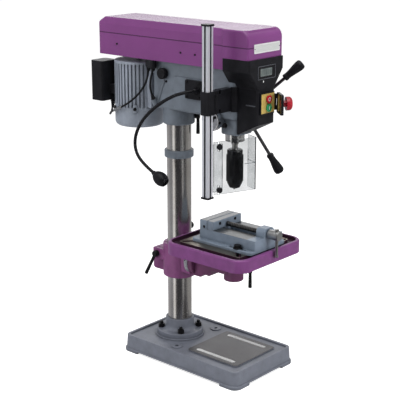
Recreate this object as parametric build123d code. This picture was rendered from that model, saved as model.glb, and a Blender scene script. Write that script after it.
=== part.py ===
"""Bench pillar drill with tilting table, drill vice, belt head, motor, guard and lamp.

Frame: +Z up, the operator stands on the -Y side, +X is the operator's right. The origin is on the
bench, midway between the two bench bolt holes. The column stands behind them on the +Y side.
"""
import math
import os

from build123d import *

# Fits and clearances
RUNNING_FIT = 0.05
SEAT_GAP = 0.3
SLIDE_GAP = 0.4
TOOTH_BACKLASH = 0.3
PRESSURE_ANGLE = 20.0
ADDENDUM = 0.8
DEDENDUM = 1.1
EDGE_BREAK = 1.5
SOFT_EDGE = 3.0
CUT_OVER = 1.0

# Column, flange and rack
COLUMN_BEHIND = 69.0
COLUMN_R = 36.5
COLUMN_WALL = 4.0
COLUMN_IN_HEAD = 126.0
FLANGE_R = 71.5
FLANGE_T = 14.0
NECK_R = 43.5
NECK_H = 50.0
NECK_ROUND = 12.0
FLANGE_PCD = 114.0
FLANGE_BOLT_R = 5.0
FLANGE_BOLT_LEN = 20.0
HEX_FLATS = 17.0
HEX_HEIGHT = 9.0
STUD_UP = 8.0
WASHER_R = 10.0
WASHER_T = 2.0
COLLAR_BELOW_HEAD = 100.0
COLLAR_H = 22.0
COLLAR_R = 43.5
RACK_W = 15.0
RACK_BODY = 3.0
RACK_MODULE = 2.0
LIFT_TEETH = 14

# Base
BASE_W = 276.0
BASE_L = 455.0
BASE_H = 52.0
BASE_R = 24.0
BASE_DRAFT = 7.0
BASE_LIP = 3.0
BASE_LIP_H = 11.0
BASE_BEHIND_COLUMN = 115.5
BASE_WALL = 12.0
BASE_TOP_T = 14.0
RIM_W = 9.0
RIM_DEPTH = 5.0
RIM_ROUND = 2.0
FOOT_L = 62.0
FOOT_LIFT = 7.0
BENCH_HOLE_X = 90.0
BENCH_HOLE_R = 6.0
BENCH_BOSS_R = 15.0
BENCH_EYE_R = 17.0
BENCH_EYE_UP = 3.0
BASE_SLOT_X = 71.0
BASE_SLOT_W = 14.0
BASE_SLOT_L = 145.0
BASE_SLOT_AHEAD = 138.0
PAD_MARGIN = 22.0
FLANGE_PAD_MARGIN = 5.0

# Table bracket on the column
BRACKET_BELOW = 61.0
BRACKET_H = 104.0
BRACKET_R = 50.0
TILT_BELOW = 92.0
TILT_FACE_AHEAD = 72.0
TILT_FLANGE_R = 45.0
TILT_FLANGE_T = 16.0
TILT_BOSS_HALF_W = 34.0
TILT_BOSS_IN = 4.0
TILT_BORE_R = 9.0
CASTING_R = 8.0
LIFT_BELOW = 28.0
GEARBOX_HALF_W = 28.0
GEARBOX_WALL = 9.0
GEARBOX_UP = 46.0
LIFT_SHAFT_R = 7.0
PINION_W = 20.0
CLAMP_UP = 5.0
CLAMP_SLIT_X = 30.0
CLAMP_SLIT_W = 3.0
CLAMP_LUG_T = 15.0
CLAMP_LUG_H = 32.0
CLAMP_LUG_BEHIND = 68.0
CLAMP_STUD_R = 5.0
CLAMP_STUD_BEHIND = 51.0
CRANK_ARM_X = 57.0
CRANK_ARM_T = 9.0
CRANK_ARM_L = 85.0
CRANK_HUB_R = 13.0
CRANK_EYE_R = 9.0
CRANK_WEB = 7.2
CRANK_KNOB_L = 52.0
CRANK_KNOB_R = 11.0

# Hand levers
LEVER_HUB_R = 9.5
LEVER_HUB_L = 15.0
LEVER_ROD_R = 4.6
LEVER_GRIP_R = 5.6
CLAMP_LEVER_L = 82.0
CLAMP_LEVER_SLANT = 28.8
SHORT_LEVER_L = 55.0

# Throat and table
THROAT = 214.0
TABLE_W = 294.0
TABLE_L = 294.0
TABLE_R = 42.0
TABLE_TOP = 392.0
TABLE_RIM_UP = 2.0
TABLE_APRON_H = 37.0
TABLE_RIM_W = 10.0
TABLE_RIM_ROUND = 6.0
TROUGH_W = 24.0
TROUGH_DEPTH = 9.0
TABLE_PLATE_T = 17.0
TABLE_HUB_R = 34.0
TABLE_HUB_H = 7.0
TABLE_STEM_R = 20.0
TABLE_HOLE_R = 9.0
TABLE_SLOT_W = 14.0
TABLE_SLOT_FROM = 62.0
TABLE_SLOT_L = 90.0
ARM_BOSS_R = 29.0
ARM_BOSS_BELOW = 28.0
ARM_HALF_W = 30.0
ARM_DOWN = 40.0
ARM_TOP_FALL = 10.0
ARM_ROOT_BELOW = 38.0
ARM_ROOT_L = 24.0
ARM_STEP_L = 10.0
ARM_STEP_UP = 12.0
ARM_FLAT_L = 24.0
ARM_FLAT_FALL = 2.0
ARM_RISE_L = 8.0
ARM_END_BELOW = 8.0
TABLE_LOCK_ANGLE = -47.0
LOCK_LUG_R = 11.0
LOCK_LUG_L = 10.0

# Drill vice
VICE_SETBACK = 20.0
VICE_JAW_W = 127.0
VICE_H = 63.0
VICE_EDGE_R = 3.0
VICE_FIXED_T = 28.0
VICE_JAW_T = 24.0
VICE_BED_H = 38.0
VICE_BED_L = 204.0
VICE_CHANNEL_W = 34.0
VICE_CHANNEL_FLOOR = 11.0
VICE_FLANGE_W = 164.0
VICE_FLANGE_T = 9.0
VICE_FLANGE_L = 222.0
VICE_FLANGE_R = 14.0
VICE_NUT_W = 46.0
VICE_NUT_T = 28.0
VICE_NUT_ROUND = 12.0
VICE_SCREW_DOWN = 17.0
VICE_SLOT_L = 60.0
VICE_SLOT_W = 9.0
VICE_SLOT_IN = 11.0
VICE_SLOT_BACK = 55.0
VICE_SCREW_R = 7.0
VICE_HUB_R = 14.0
VICE_HUB_GAP = 2.0
VICE_HUB_END = 10.5
TOMMY_CLEAR = 7.5
TOMMY_R = 4.5
TOMMY_L = 82.0
TOMMY_END_R = 6.0
TOMMY_END_L = 5.0

# Head casting
HEAD_HALF_W = 48.0
HEAD_OFF_BENCH = 709.0
HEAD_BOSS_DROP = 47.0
HEAD_H = 141.0
HEAD_BOSS_R = 47.0
HEAD_REAR = 60.0
HEAD_FRONT = 38.0
HEAD_EDGE_R = 12.0
HEAD_LOW_R = 5.0
PANEL_T = 2.5
PANEL_L = 118.0
PANEL_H = 96.0
PANEL_AHEAD = 84.0
PANEL_UP = 53.0
PANEL_R = 12.0
QUILL_BLOCK_HALF_W = 36.0
QUILL_BLOCK_REAR = 64.0
HEAD_WALL = 8.0
BAR_R = 9.0
BAR_X = 26.0
BAR_BELOW = 37.0
BAR_DEPTH = 90.0
LOCK_KNOB_BEHIND = 12.0
LOCK_KNOB_R = 16.0
LOCK_KNOB_L = 16.0
LOCK_STUD_R = 4.0
HEAD_LEVER_ANGLE = -53.0
HEAD_LEVER_UP = 23.0

# Quill, spindle and chuck
QUILL_R = 27.5
QUILL_PROUD = 11.0
QUILL_L = 160.0
QUILL_CREST = 24.5
QUILL_CUT_UP = 37.0
QUILL_CUT_DOWN = 11.0
QUILL_CUT_GAP = 0.6
QUILL_BORE_R = 16.0
QUILL_LAND = 26.0
QUILL_HEADROOM = 14.0
SPINDLE_R = 10.0
SPINDLE_DRIVE_R = 9.0
SPINDLE_SHOULDER = 4.0
SPINDLE_PROUD = 4.0
SPINDLE_NOSE_R = 15.0
SPINDLE_NOSE_L = 20.0
ARBOR_R = 8.0
ARBOR_L = 46.0
CHUCK_GAP = 14.0
CHUCK_L = 112.0
CHUCK_R = 22.0
CHUCK_NOSE_TOP_R = 22.0
CHUCK_NOSE_R = 15.0
CHUCK_NECK_L = 14.0
CHUCK_LAND = 4.0
CHUCK_NECK_R = 17.0
SLEEVE_R = 24.5
CHUCK_NOSE_L = 18.0
SLEEVE_BELOW = 2.0
SLEEVE_MARGIN = 8.0
SLEEVE_RIBS = 24
SLEEVE_RIB_DEPTH = 1.2
JAW_R = 3.2
JAW_ANGLE = 16.0
JAW_TIP_RADIUS = 4.3
JAW_TIP_BELOW = 4.0
JAW_LEN = 40.0
JAW_TRAVEL = 10.0

# Feed
FEED_UP = 41.0
FEED_TEETH = 14
FEED_MODULE = 2.0
FEED_SHAFT_R = 11.5
FEED_BOSS_R = 26.0
FEED_BOSS_RIGHT = 58.0
FEED_HUB_R = 22.0
FEED_HUB_L = 40.0
FEED_ARM_X = 86.0
FEED_ARM_R = 5.0
FEED_ARM_L = 218.0
FEED_ARM_SLANT = 26.5
FEED_ARM_FIRST = 48.0
FEED_ARMS = 3
GRIP_L = 66.0
GRIP_NECK_R = 10.0
GRIP_END_R = 14.0
GRIP_ROUND = 5.0
SPRING_CASE_R = 31.0
SPRING_CASE_T = 18.0
SPRING_CASE_WALL = 3.0
SPRING_ARBOR_R = 7.0

# Belt housing and drive
TRAY_HALF_W = 69.0
TRAY_REAR = 265.0
TRAY_AHEAD = 98.0
TRAY_R = 13.0
TRAY_WALL = 2.5
TRAY_H = 65.0
LID_H = 46.0
LID_SHOULDER = 20.0
LID_DRAFT = 5.0
LID_SLOPE_L = 30.0
LID_ROUND = 3.0
BAND_HALF_W = 75.0
BAND_AHEAD = 104.0
BAND_LENGTH = 92.0
BAND_H = 32.0
BAND_R = 5.0
FRONT_ROUND = 26.0
HINGE_BEHIND = 6.0
HINGE_PIN_R = 2.5
HINGE_KNUCKLE_R = 5.5
HINGE_HALF_L = 30.0
HINGE_MIDDLE = 12.0
PULLEY_UP = 8.0
PULLEY_STEP_H = 13.0
PULLEY_SMALL_R = 33.0
PULLEY_STEP_R = 8.0
PULLEY_STEPS = 5
GROOVE_DEPTH = 6.0
BELT_H = 8.0
BELT_T = 6.0
PULLEY_SLEEVE_R = 17.0
PULLEY_SLEEVE_L = 21.0

# Motor
MOTOR_BEHIND = 160.0
MOTOR_R = 75.0
MOTOR_CORE_R = 67.0
MOTOR_BORE_R = 54.0
MOTOR_FINS = 54
MOTOR_BELL_L = 51.0
MOTOR_BODY_L = 120.0
MOTOR_SHIELD_L = 26.0
MOTOR_SHIELD_IN = 2.0
MOTOR_SHIELD_ROUND = 5.0
MOTOR_BELOW = 15.0
MOTOR_BELL_WALL = 6.0
MOTOR_BELL_ROUND = 14.0
MOTOR_SHAFT_R = 8.0
ROTOR_R = 50.0
ROTOR_MARGIN = 12.0
MOTOR_PULLEY_TOP_MARGIN = 2.0
PLATE_GAP = 13.0
PLATE_T = 10.0
PLATE_HALF_W = 40.0
PLATE_H = 128.0
PLATE_BELOW = 21.0
SADDLE_HALF_W = 36.0
SHAFT_SLOT_R = 22.0
SHAFT_SLOT_TRAVEL = 16.0
CAP_BOX_W = 62.0
CAP_BOX_D = 50.0
CAP_BOX_H = 120.0
CAP_BOX_UP = 21.0
CAP_BOX_X = -57.0
CAP_BOX_BEHIND = 95.0
CAP_BOX_R = 8.0
CAP_STRAP_T = 14.0

# Front cover, display and switch
COVER_AHEAD = 109.0
COVER_HALF_W = 75.0
COVER_BROW = 34.0
COVER_SHOULDER = 50.0
COVER_LOW_HALF_W = 37.0
COVER_LIFT = 41.0
COVER_BOTTOM_SLOPE = 0.5
COVER_REAR_AHEAD = 16.0
COVER_WALL = 3.0
COVER_EDGE_R = 5.0
DISPLAY_W = 58.0
DISPLAY_H = 28.0
DISPLAY_BELOW = 37.0
DISPLAY_T = 2.0
BEZEL_MARGIN = 8.0
BEZEL_DEPTH = 3.0
SWITCH_W = 58.0
SWITCH_H = 60.0
SWITCH_BELOW = 85.0
SWITCH_T = 7.0
BUTTON_R = 9.0
BUTTON_STEP = 12.0
BUTTON_PROUD = 5.0
BUTTON_DEPTH = 5.0
BUTTON_TRAVEL = 3.0
FLAP_T = 7.0
FLAP_WALL = 2.5
FLAP_H = 56.0
FLAP_OPEN = 50.0
FLAP_ROUND = 5.0
FLAP_GAP = 0.8
FLAP_PIN_R = 2.0
FLAP_KNUCKLE_R = 4.0
MUSHROOM_R = 19.0
MUSHROOM_T = 17.0
MUSHROOM_ROUND = 9.0
MUSHROOM_STEM_R = 9.0
MUSHROOM_NECK = 12.0

# Chuck guard
POST_X = -134.0
POST_AHEAD = 14.0
POST_W = 22.0
POST_BELOW = 229.0
POST_L = 468.0
POST_GROOVE_W = 6.0
POST_GROOVE_DEPTH = 3.0
POST_CAP_T = 5.0
POST_CAP_OVER = 2.5
GUARD_SLEEVE_WALL = 3.0
GUARD_SLEEVE_UP = 26.0
GUARD_SLEEVE_H = 64.0
GUARD_PIVOT_OFFSET = 30.0
GUARD_PIVOT_R = 5.0
GUARD_KNUCKLE_R = 11.0
GUARD_EAR_T = 11.0
GUARD_BLOCK_HALF_D = 11.0
SHIELD_H = 150.0
SHIELD_UP = 3.0
SHIELD_W = 141.0
SHIELD_T = 3.0
SHIELD_WING = 43.0
SHIELD_TURN = -20.0
SHIELD_ROUND = 2.5
SHIELD_LEFT = 5.0
SHIELD_SLOT_W = 6.0
SHIELD_SLOT_IN = 20.0
SHIELD_SLOT_L = 27.0
HOLDER_T = 5.0
HOLDER_IN = 2.0
HOLDER_L = 34.0
HOLDER_MARGIN = 8.0
GUARD_KNOB_R = 8.0
GUARD_KNOB_L = 9.0
GUARD_STUD_R = 2.5
GUARD_KNOB_IN = 14.0

# Lamp
LAMP_PLATE_W = 60.0
LAMP_PLATE_H = 54.0
LAMP_PLATE_T = 6.0
LAMP_PLATE_ROUND = 4.0
LAMP_PLATE_AHEAD = 105.5
LAMP_PLATE_UP = 70.0
NECK_AHEAD = 15.5
NECK_OUT = 74.5
NECK_BACK = 174.0
NECK_DROP = 244.0
NECK_TUBE_R = 5.0
LAMP_CONE = 0.6
LAMP_THROAT = 0.4
LAMP_LIP = 0.7
LAMP_HEAD_R = 20.0
LAMP_HEAD_L = 50.0
LAMP_HEAD_WALL = 3.0

# Leads
LEAD_R = 3.0
GLAND_R = 8.0
GLAND_L = 10.0
LEAD_X = -50.0
LEAD_BEHIND = 72.0
LEAD_OUT = 41.0
LEAD_BACK = 167.0
LEAD_DROP = 174.0
HEAD_LEAD_X = -62.0
HEAD_LEAD_BEHIND = 43.0
HEAD_LEAD_OUT = 12.0
HEAD_LEAD_DROP = 103.0

# Heights, from the bench up
NECK_TOP = BASE_H + NECK_H
TABLE_RIM_TOP = TABLE_TOP + TABLE_RIM_UP
TILT_AXIS_Z = TABLE_TOP - TILT_BELOW
BRACKET_BOTTOM = TILT_AXIS_Z - BRACKET_BELOW
BRACKET_TOP = BRACKET_BOTTOM + BRACKET_H
LIFT_AXIS_Z = TILT_AXIS_Z - LIFT_BELOW
GEARBOX_TOP = LIFT_AXIS_Z + GEARBOX_UP
CLAMP_AXIS_Z = TILT_AXIS_Z + CLAMP_UP
ARM_BOSS_BOTTOM = TILT_AXIS_Z - ARM_BOSS_BELOW
ARM_TOP = TABLE_TOP - ARM_DOWN
ARM_ROOT_BOTTOM = TILT_AXIS_Z - ARM_ROOT_BELOW
ARM_END_BOTTOM = TILT_AXIS_Z - ARM_END_BELOW
VICE_TOP = TABLE_TOP + VICE_H
VICE_BED_TOP = TABLE_TOP + VICE_BED_H
VICE_SCREW_Z = VICE_TOP - VICE_SCREW_DOWN
HEAD_BOSS_BOTTOM = HEAD_OFF_BENCH
HEAD_BOTTOM = HEAD_BOSS_BOTTOM + HEAD_BOSS_DROP
HEAD_TOP = HEAD_BOTTOM + HEAD_H
COLUMN_TOP = HEAD_BOSS_BOTTOM + COLUMN_IN_HEAD
COLLAR_BOTTOM = HEAD_BOSS_BOTTOM - COLLAR_BELOW_HEAD
PANEL_Z = HEAD_BOTTOM + PANEL_UP
BAR_Z = HEAD_TOP - BAR_BELOW
HEAD_LEVER_Z = HEAD_BOSS_BOTTOM + HEAD_LEVER_UP
FEED_Z = HEAD_BOSS_BOTTOM + FEED_UP
QUILL_BOTTOM = HEAD_BOSS_BOTTOM - QUILL_PROUD
QUILL_TOP = QUILL_BOTTOM + QUILL_L
QUILL_CUT_BOTTOM = QUILL_BOTTOM + QUILL_CUT_UP
QUILL_CUT_TOP = QUILL_TOP - QUILL_CUT_DOWN
QUILL_BORE_TOP = QUILL_TOP + QUILL_HEADROOM
SPINDLE_DRIVE_BOTTOM = QUILL_TOP + SPINDLE_SHOULDER
SPINDLE_NOSE_BOTTOM = QUILL_BOTTOM - SPINDLE_NOSE_L
ARBOR_BOTTOM = SPINDLE_NOSE_BOTTOM - ARBOR_L
CHUCK_TOP = SPINDLE_NOSE_BOTTOM - CHUCK_GAP
CHUCK_BOTTOM = CHUCK_TOP - CHUCK_L
CHUCK_SHOULDER = CHUCK_TOP - CHUCK_NECK_L
SLEEVE_TOP = CHUCK_SHOULDER - SLEEVE_BELOW
SLEEVE_BOTTOM = CHUCK_BOTTOM + CHUCK_NOSE_L
SEAM_Z = HEAD_TOP + TRAY_H
LID_TOP = SEAM_Z + LID_H
BAND_BOTTOM = SEAM_Z - BAND_H
PULLEY_BOTTOM = HEAD_TOP + PULLEY_UP
PULLEY_TOP = PULLEY_BOTTOM + PULLEY_STEPS * PULLEY_STEP_H
PULLEY_SLEEVE_BOTTOM = HEAD_TOP - PULLEY_SLEEVE_L
SPINDLE_TOP = PULLEY_TOP + SPINDLE_PROUD
MOTOR_TOP = HEAD_TOP - MOTOR_BELOW
MOTOR_BODY_TOP = MOTOR_TOP - MOTOR_SHIELD_L
MOTOR_BODY_BOTTOM = MOTOR_BODY_TOP - MOTOR_BODY_L
MOTOR_BELL_BOTTOM = MOTOR_BODY_BOTTOM - MOTOR_BELL_L
PLATE_TOP = HEAD_TOP - PLATE_BELOW
PLATE_BOTTOM = PLATE_TOP - PLATE_H
CAP_BOX_BOTTOM = MOTOR_BODY_BOTTOM + CAP_BOX_UP
COVER_SHOULDER_TOP = BAND_BOTTOM - COVER_BROW
COVER_SHOULDER_BOTTOM = COVER_SHOULDER_TOP - COVER_SHOULDER
COVER_BOTTOM = HEAD_BOSS_BOTTOM + COVER_LIFT
DISPLAY_Z = BAND_BOTTOM - DISPLAY_BELOW
SWITCH_Z = DISPLAY_Z - SWITCH_BELOW
GUARD_SLEEVE_BOTTOM = HEAD_BOTTOM + GUARD_SLEEVE_UP
GUARD_SLEEVE_TOP = GUARD_SLEEVE_BOTTOM + GUARD_SLEEVE_H
POST_BOTTOM = GUARD_SLEEVE_BOTTOM - POST_BELOW
POST_TOP = POST_BOTTOM + POST_L
SHIELD_BOTTOM = POST_BOTTOM + SHIELD_UP
LAMP_PLATE_Z = HEAD_BOTTOM + LAMP_PLATE_UP
GLAND_BOTTOM = HEAD_TOP - GLAND_L - SEAT_GAP

# Places along the machine and its gearing
COLUMN_Y = COLUMN_BEHIND
SPINDLE_Y = COLUMN_Y - THROAT
MOTOR_Y = COLUMN_Y + MOTOR_BEHIND
BASE_REAR = COLUMN_Y + BASE_BEHIND_COLUMN
BASE_MID = BASE_REAR - BASE_L / 2
BASE_FLOOR = BASE_H - RIM_DEPTH
LIFT_PITCH_R = RACK_MODULE * LIFT_TEETH / 2
FEED_PITCH_R = FEED_MODULE * FEED_TEETH / 2
RACK_BACK = COLUMN_Y + COLUMN_R + SEAT_GAP
RACK_ROOT = RACK_BACK + RACK_BODY
RACK_PITCH_Y = RACK_ROOT + DEDENDUM * RACK_MODULE
RACK_CREST = RACK_PITCH_Y + ADDENDUM * RACK_MODULE
LIFT_AXIS_Y = RACK_PITCH_Y + LIFT_PITCH_R
QUILL_PITCH_Y = SPINDLE_Y + QUILL_CREST - ADDENDUM * FEED_MODULE
FEED_Y = QUILL_PITCH_Y + FEED_PITCH_R
HEAD_REAR_Y = COLUMN_Y + HEAD_REAR
HEAD_FRONT_Y = SPINDLE_Y - HEAD_FRONT
TILT_FACE_Y = COLUMN_Y - TILT_FACE_AHEAD
TRAY_REAR_Y = COLUMN_Y + TRAY_REAR
TRAY_FRONT_Y = SPINDLE_Y - TRAY_AHEAD
BAND_FRONT_Y = SPINDLE_Y - BAND_AHEAD
BAND_REAR_Y = BAND_FRONT_Y + BAND_LENGTH
COVER_FRONT_Y = SPINDLE_Y - COVER_AHEAD
POST_Y = SPINDLE_Y - POST_AHEAD
SWITCH_FACE_Y = COVER_FRONT_Y - SWITCH_T

CENTRE_BASE = (Align.CENTER, Align.CENTER, Align.MIN)


def block(x0, x1, y0, y1, z0, z1):
    """A box between two corners."""
    middle = Pos((x0 + x1) / 2, (y0 + y1) / 2, (z0 + z1) / 2)
    return middle * Box(abs(x1 - x0), abs(y1 - y0), abs(z1 - z0))


def rod_between(start, end, radius, end_radius=None):
    """A round bar, or a cone where the end radius differs, from one point to another."""
    start = Vector(*start)
    end = Vector(*end)
    place = Plane(origin=start, z_dir=end - start)
    length = (end - start).length
    if end_radius is None:
        return place * Cylinder(radius, length, align=CENTRE_BASE)
    return place * Cone(radius, end_radius, length, align=CENTRE_BASE)


def rod_z(radius, x, y, z0, z1):
    """An upright round bar."""
    return rod_between((x, y, z0), (x, y, z1), radius)


def rod_y(radius, x, z, y0, y1):
    """A round bar running front to back."""
    return rod_between((x, y0, z), (x, y1, z), radius)


def rod_x(radius, y, z, x0, x1):
    """A round bar running left to right."""
    return rod_between((x0, y, z), (x1, y, z), radius)


def slab(width, length, radius, x, y, z0, z1):
    """An upright slab with rounded corners."""
    return Pos(x, y, z0) * extrude(RectangleRounded(width, length, radius), z1 - z0)


def hex_bolt(x, y, seat, radius, depth):
    """A stud with its nut on a washer, and its end standing over the nut."""
    washer = rod_z(WASHER_R, x, y, seat, seat + WASHER_T)
    head_low = seat + WASHER_T
    head = Pos(x, y, head_low) * extrude(RegularPolygon(HEX_FLATS / 2, 6, major_radius=False), HEX_HEIGHT)
    stud = rod_z(radius, x, y, seat - depth, head_low + HEX_HEIGHT + STUD_UP)
    return washer + head + chamfer(stud.edges().group_by(Axis.Z)[-1], EDGE_BREAK)


def rack_line(module, centre, first, last):
    """Tooth outline of a rack as (along, height over the pitch line), with a gap at the centre."""
    pitch = math.pi * module
    slope = math.tan(math.radians(PRESSURE_ANGLE))
    half = pitch / 4 - TOOTH_BACKLASH / 2
    tip = half - ADDENDUM * module * slope
    root = half + DEDENDUM * module * slope
    low = math.ceil((first - centre) / pitch)
    high = math.floor((last - centre) / pitch)
    points = []
    for count in range(low, high):
        middle = centre + (count + 0.5) * pitch
        points.append((middle - root, -DEDENDUM * module))
        points.append((middle - tip, ADDENDUM * module))
        points.append((middle + tip, ADDENDUM * module))
        points.append((middle + root, -DEDENDUM * module))
    return points


def pinion_profile(module, teeth):
    """Involute pinion outline in its own plane, with one tooth pointing along -X."""
    pitch_r = module * teeth / 2
    base_r = pitch_r * math.cos(math.radians(PRESSURE_ANGLE))
    tip_r = pitch_r + ADDENDUM * module
    root_r = pitch_r - DEDENDUM * module
    pressure = math.radians(PRESSURE_ANGLE)
    half_pitch = math.pi / (2 * teeth) - TOOTH_BACKLASH / (2 * pitch_r) + math.tan(pressure) - pressure
    flank_steps = 5
    start_r = max(base_r, root_r)
    flank = [(root_r, half_pitch)]
    for step in range(flank_steps + 1):
        radius = start_r + (tip_r - start_r) * step / flank_steps
        lean = math.acos(min(1.0, base_r / radius))
        flank.append((radius, half_pitch - math.tan(lean) + lean))
    points = []
    for tooth in range(teeth):
        middle = math.pi + 2 * math.pi * tooth / teeth
        side = [(radius, middle - angle) for radius, angle in flank]
        side += [(radius, middle + angle) for radius, angle in reversed(flank)]
        points += [(radius * math.cos(angle), radius * math.sin(angle)) for radius, angle in side]
    return make_face(Polyline(*points, close=True))


def pinion_x(module, teeth, y, z, half_width):
    """A pinion turning about X, with one tooth pointing along -Y."""
    place = Plane(origin=(-half_width, y, z), x_dir=(0, 1, 0), z_dir=(1, 0, 0))
    return place * extrude(pinion_profile(module, teeth), 2 * half_width)


def base_plate():
    """Cast base: drafted box with rim, machined pad, slots, corner feet and bolt bosses."""
    low_w = BASE_W - 2 * BASE_LIP
    low_l = BASE_L - 2 * BASE_LIP
    low = Pos(0, BASE_MID, 0) * RectangleRounded(low_w, low_l, BASE_R - BASE_LIP)
    top_w = BASE_W - 2 * BASE_DRAFT
    top_l = BASE_L - 2 * BASE_DRAFT
    high = Pos(0, BASE_MID, BASE_H) * RectangleRounded(top_w, top_l, BASE_R - BASE_DRAFT)
    lip = slab(BASE_W, BASE_L, BASE_R, 0, BASE_MID, 0, BASE_LIP_H)
    body = loft([low, high]) + fillet(lip.edges().group_by(Axis.Z)[-1], BASE_LIP)
    inner_r = BASE_R - BASE_DRAFT - RIM_W
    body -= slab(top_w - 2 * RIM_W, top_l - 2 * RIM_W, inner_r, 0, BASE_MID, BASE_FLOOR, BASE_H + 1)
    body = fillet(body.edges().group_by(Axis.Z)[-1], RIM_ROUND)
    hollow_top = BASE_FLOOR - BASE_TOP_T
    hollow_w = BASE_W - 2 * BASE_WALL - BASE_DRAFT
    hollow_l = BASE_L - 2 * BASE_WALL - BASE_DRAFT
    body -= slab(hollow_w, hollow_l, BASE_R - BASE_WALL, 0, BASE_MID, -1, hollow_top)
    foot_x = BASE_W / 2 - FOOT_L
    foot_y = BASE_L / 2 - FOOT_L
    body -= block(-foot_x, foot_x, BASE_MID - BASE_L, BASE_MID + BASE_L, -1, FOOT_LIFT)
    body -= block(-BASE_W, BASE_W, BASE_MID - foot_y, BASE_MID + foot_y, -1, FOOT_LIFT)
    pad_w = 2 * (BASE_SLOT_X + PAD_MARGIN)
    pad_l = BASE_SLOT_L + 2 * PAD_MARGIN
    pad = slab(pad_w, pad_l, PAD_MARGIN / 2, 0, -BASE_SLOT_AHEAD, BASE_FLOOR, BASE_H)
    body += chamfer(pad.edges().group_by(Axis.Z)[-1], 1)
    seat = rod_z(FLANGE_R + FLANGE_PAD_MARGIN, 0, COLUMN_Y, BASE_FLOOR, BASE_H)
    body += chamfer(seat.edges().group_by(Axis.Z)[-1], 1)
    for side in (-1, 1):
        hole_x = side * BENCH_HOLE_X
        eye = rod_z(BENCH_EYE_R, hole_x, 0, BASE_FLOOR - 1, BASE_FLOOR + BENCH_EYE_UP)
        body += fillet(eye.edges().group_by(Axis.Z)[-1], EDGE_BREAK)
        body += rod_z(BENCH_BOSS_R, hole_x, 0, 0, BASE_FLOOR)
        body -= rod_z(BENCH_HOLE_R, hole_x, 0, -1, BASE_H + 1)
        slot = Pos(side * BASE_SLOT_X, -BASE_SLOT_AHEAD, -1) * Rot(0, 0, 90)
        body -= slot * extrude(SlotOverall(BASE_SLOT_L, BASE_SLOT_W), BASE_H + 2)
    for x, y in flange_bolt_places():
        body += rod_z(BENCH_BOSS_R, x, y, FOOT_LIFT, BASE_FLOOR)
        body -= rod_z(FLANGE_BOLT_R + RUNNING_FIT, x, y, BASE_H - FLANGE_BOLT_LEN, BASE_H + 1)
    return body


def flange_bolt_places():
    """The four bolts of the column flange, on the diagonals."""
    reach = FLANGE_PCD / 2 * math.sqrt(0.5)
    return [(x * reach, COLUMN_Y + y * reach) for x in (-1, 1) for y in (-1, 1)]


def column_flange():
    """Cast flange with a neck that holds the foot of the column."""
    disc = rod_z(FLANGE_R, 0, COLUMN_Y, BASE_H, BASE_H + FLANGE_T)
    body = disc + rod_z(NECK_R, 0, COLUMN_Y, BASE_H, NECK_TOP)
    inside = body.edges().filter_by(GeomType.CIRCLE).group_by(Axis.Z)[1].sort_by(SortBy.RADIUS)[0]
    body = fillet(inside, NECK_ROUND)
    rims = body.edges().filter_by(GeomType.CIRCLE).group_by(Axis.Z)
    body = fillet(rims[-1] + [rims[1].sort_by(SortBy.RADIUS)[-1]], 2)
    body -= rod_z(COLUMN_R + RUNNING_FIT, 0, COLUMN_Y, BASE_H - 1, NECK_TOP + 1)
    for x, y in flange_bolt_places():
        body -= rod_z(FLANGE_BOLT_R + SLIDE_GAP, x, y, BASE_H - 1, BASE_H + FLANGE_T + 1)
        body -= rod_z(WASHER_R + SLIDE_GAP, x, y, BASE_H + FLANGE_T, NECK_TOP)
    return body


def flange_bolts():
    """Four hexagon bolts through the flange into the base."""
    seat = BASE_H + FLANGE_T
    depth = FLANGE_T + FLANGE_BOLT_LEN - SLIDE_GAP
    return Compound([hex_bolt(x, y, seat, FLANGE_BOLT_R, depth) for x, y in flange_bolt_places()])


def column():
    """Ground steel tube."""
    tube = rod_z(COLUMN_R, 0, COLUMN_Y, BASE_H, COLUMN_TOP)
    return tube - rod_z(COLUMN_R - COLUMN_WALL, 0, COLUMN_Y, BASE_H - 1, COLUMN_TOP + 1)


def rack_collar():
    """Ring that keeps the top of the rack against the column."""
    top = COLLAR_BOTTOM + COLLAR_H
    ring = rod_z(COLLAR_R, 0, COLUMN_Y, COLLAR_BOTTOM, top)
    ring = chamfer(ring.edges().filter_by(GeomType.CIRCLE), EDGE_BREAK)
    return ring - rod_z(COLUMN_R + RUNNING_FIT, 0, COLUMN_Y, COLLAR_BOTTOM - 1, top + 1)


def table_rack():
    """Toothed rack behind the column, from the flange neck to the collar."""
    low = NECK_TOP + SLIDE_GAP
    high = COLLAR_BOTTOM - SLIDE_GAP
    teeth = rack_line(RACK_MODULE, LIFT_AXIS_Z, low, high)
    outline = [(RACK_BACK, low), (RACK_ROOT, low)]
    outline += [(RACK_PITCH_Y + height, along) for along, height in teeth]
    outline += [(RACK_ROOT, high), (RACK_BACK, high)]
    face = Plane(origin=(-RACK_W / 2, 0, 0), x_dir=(0, 1, 0), z_dir=(1, 0, 0)) * make_face(
        Polyline(*outline, close=True),
    )
    return extrude(face, RACK_W, dir=(1, 0, 0))


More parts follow.
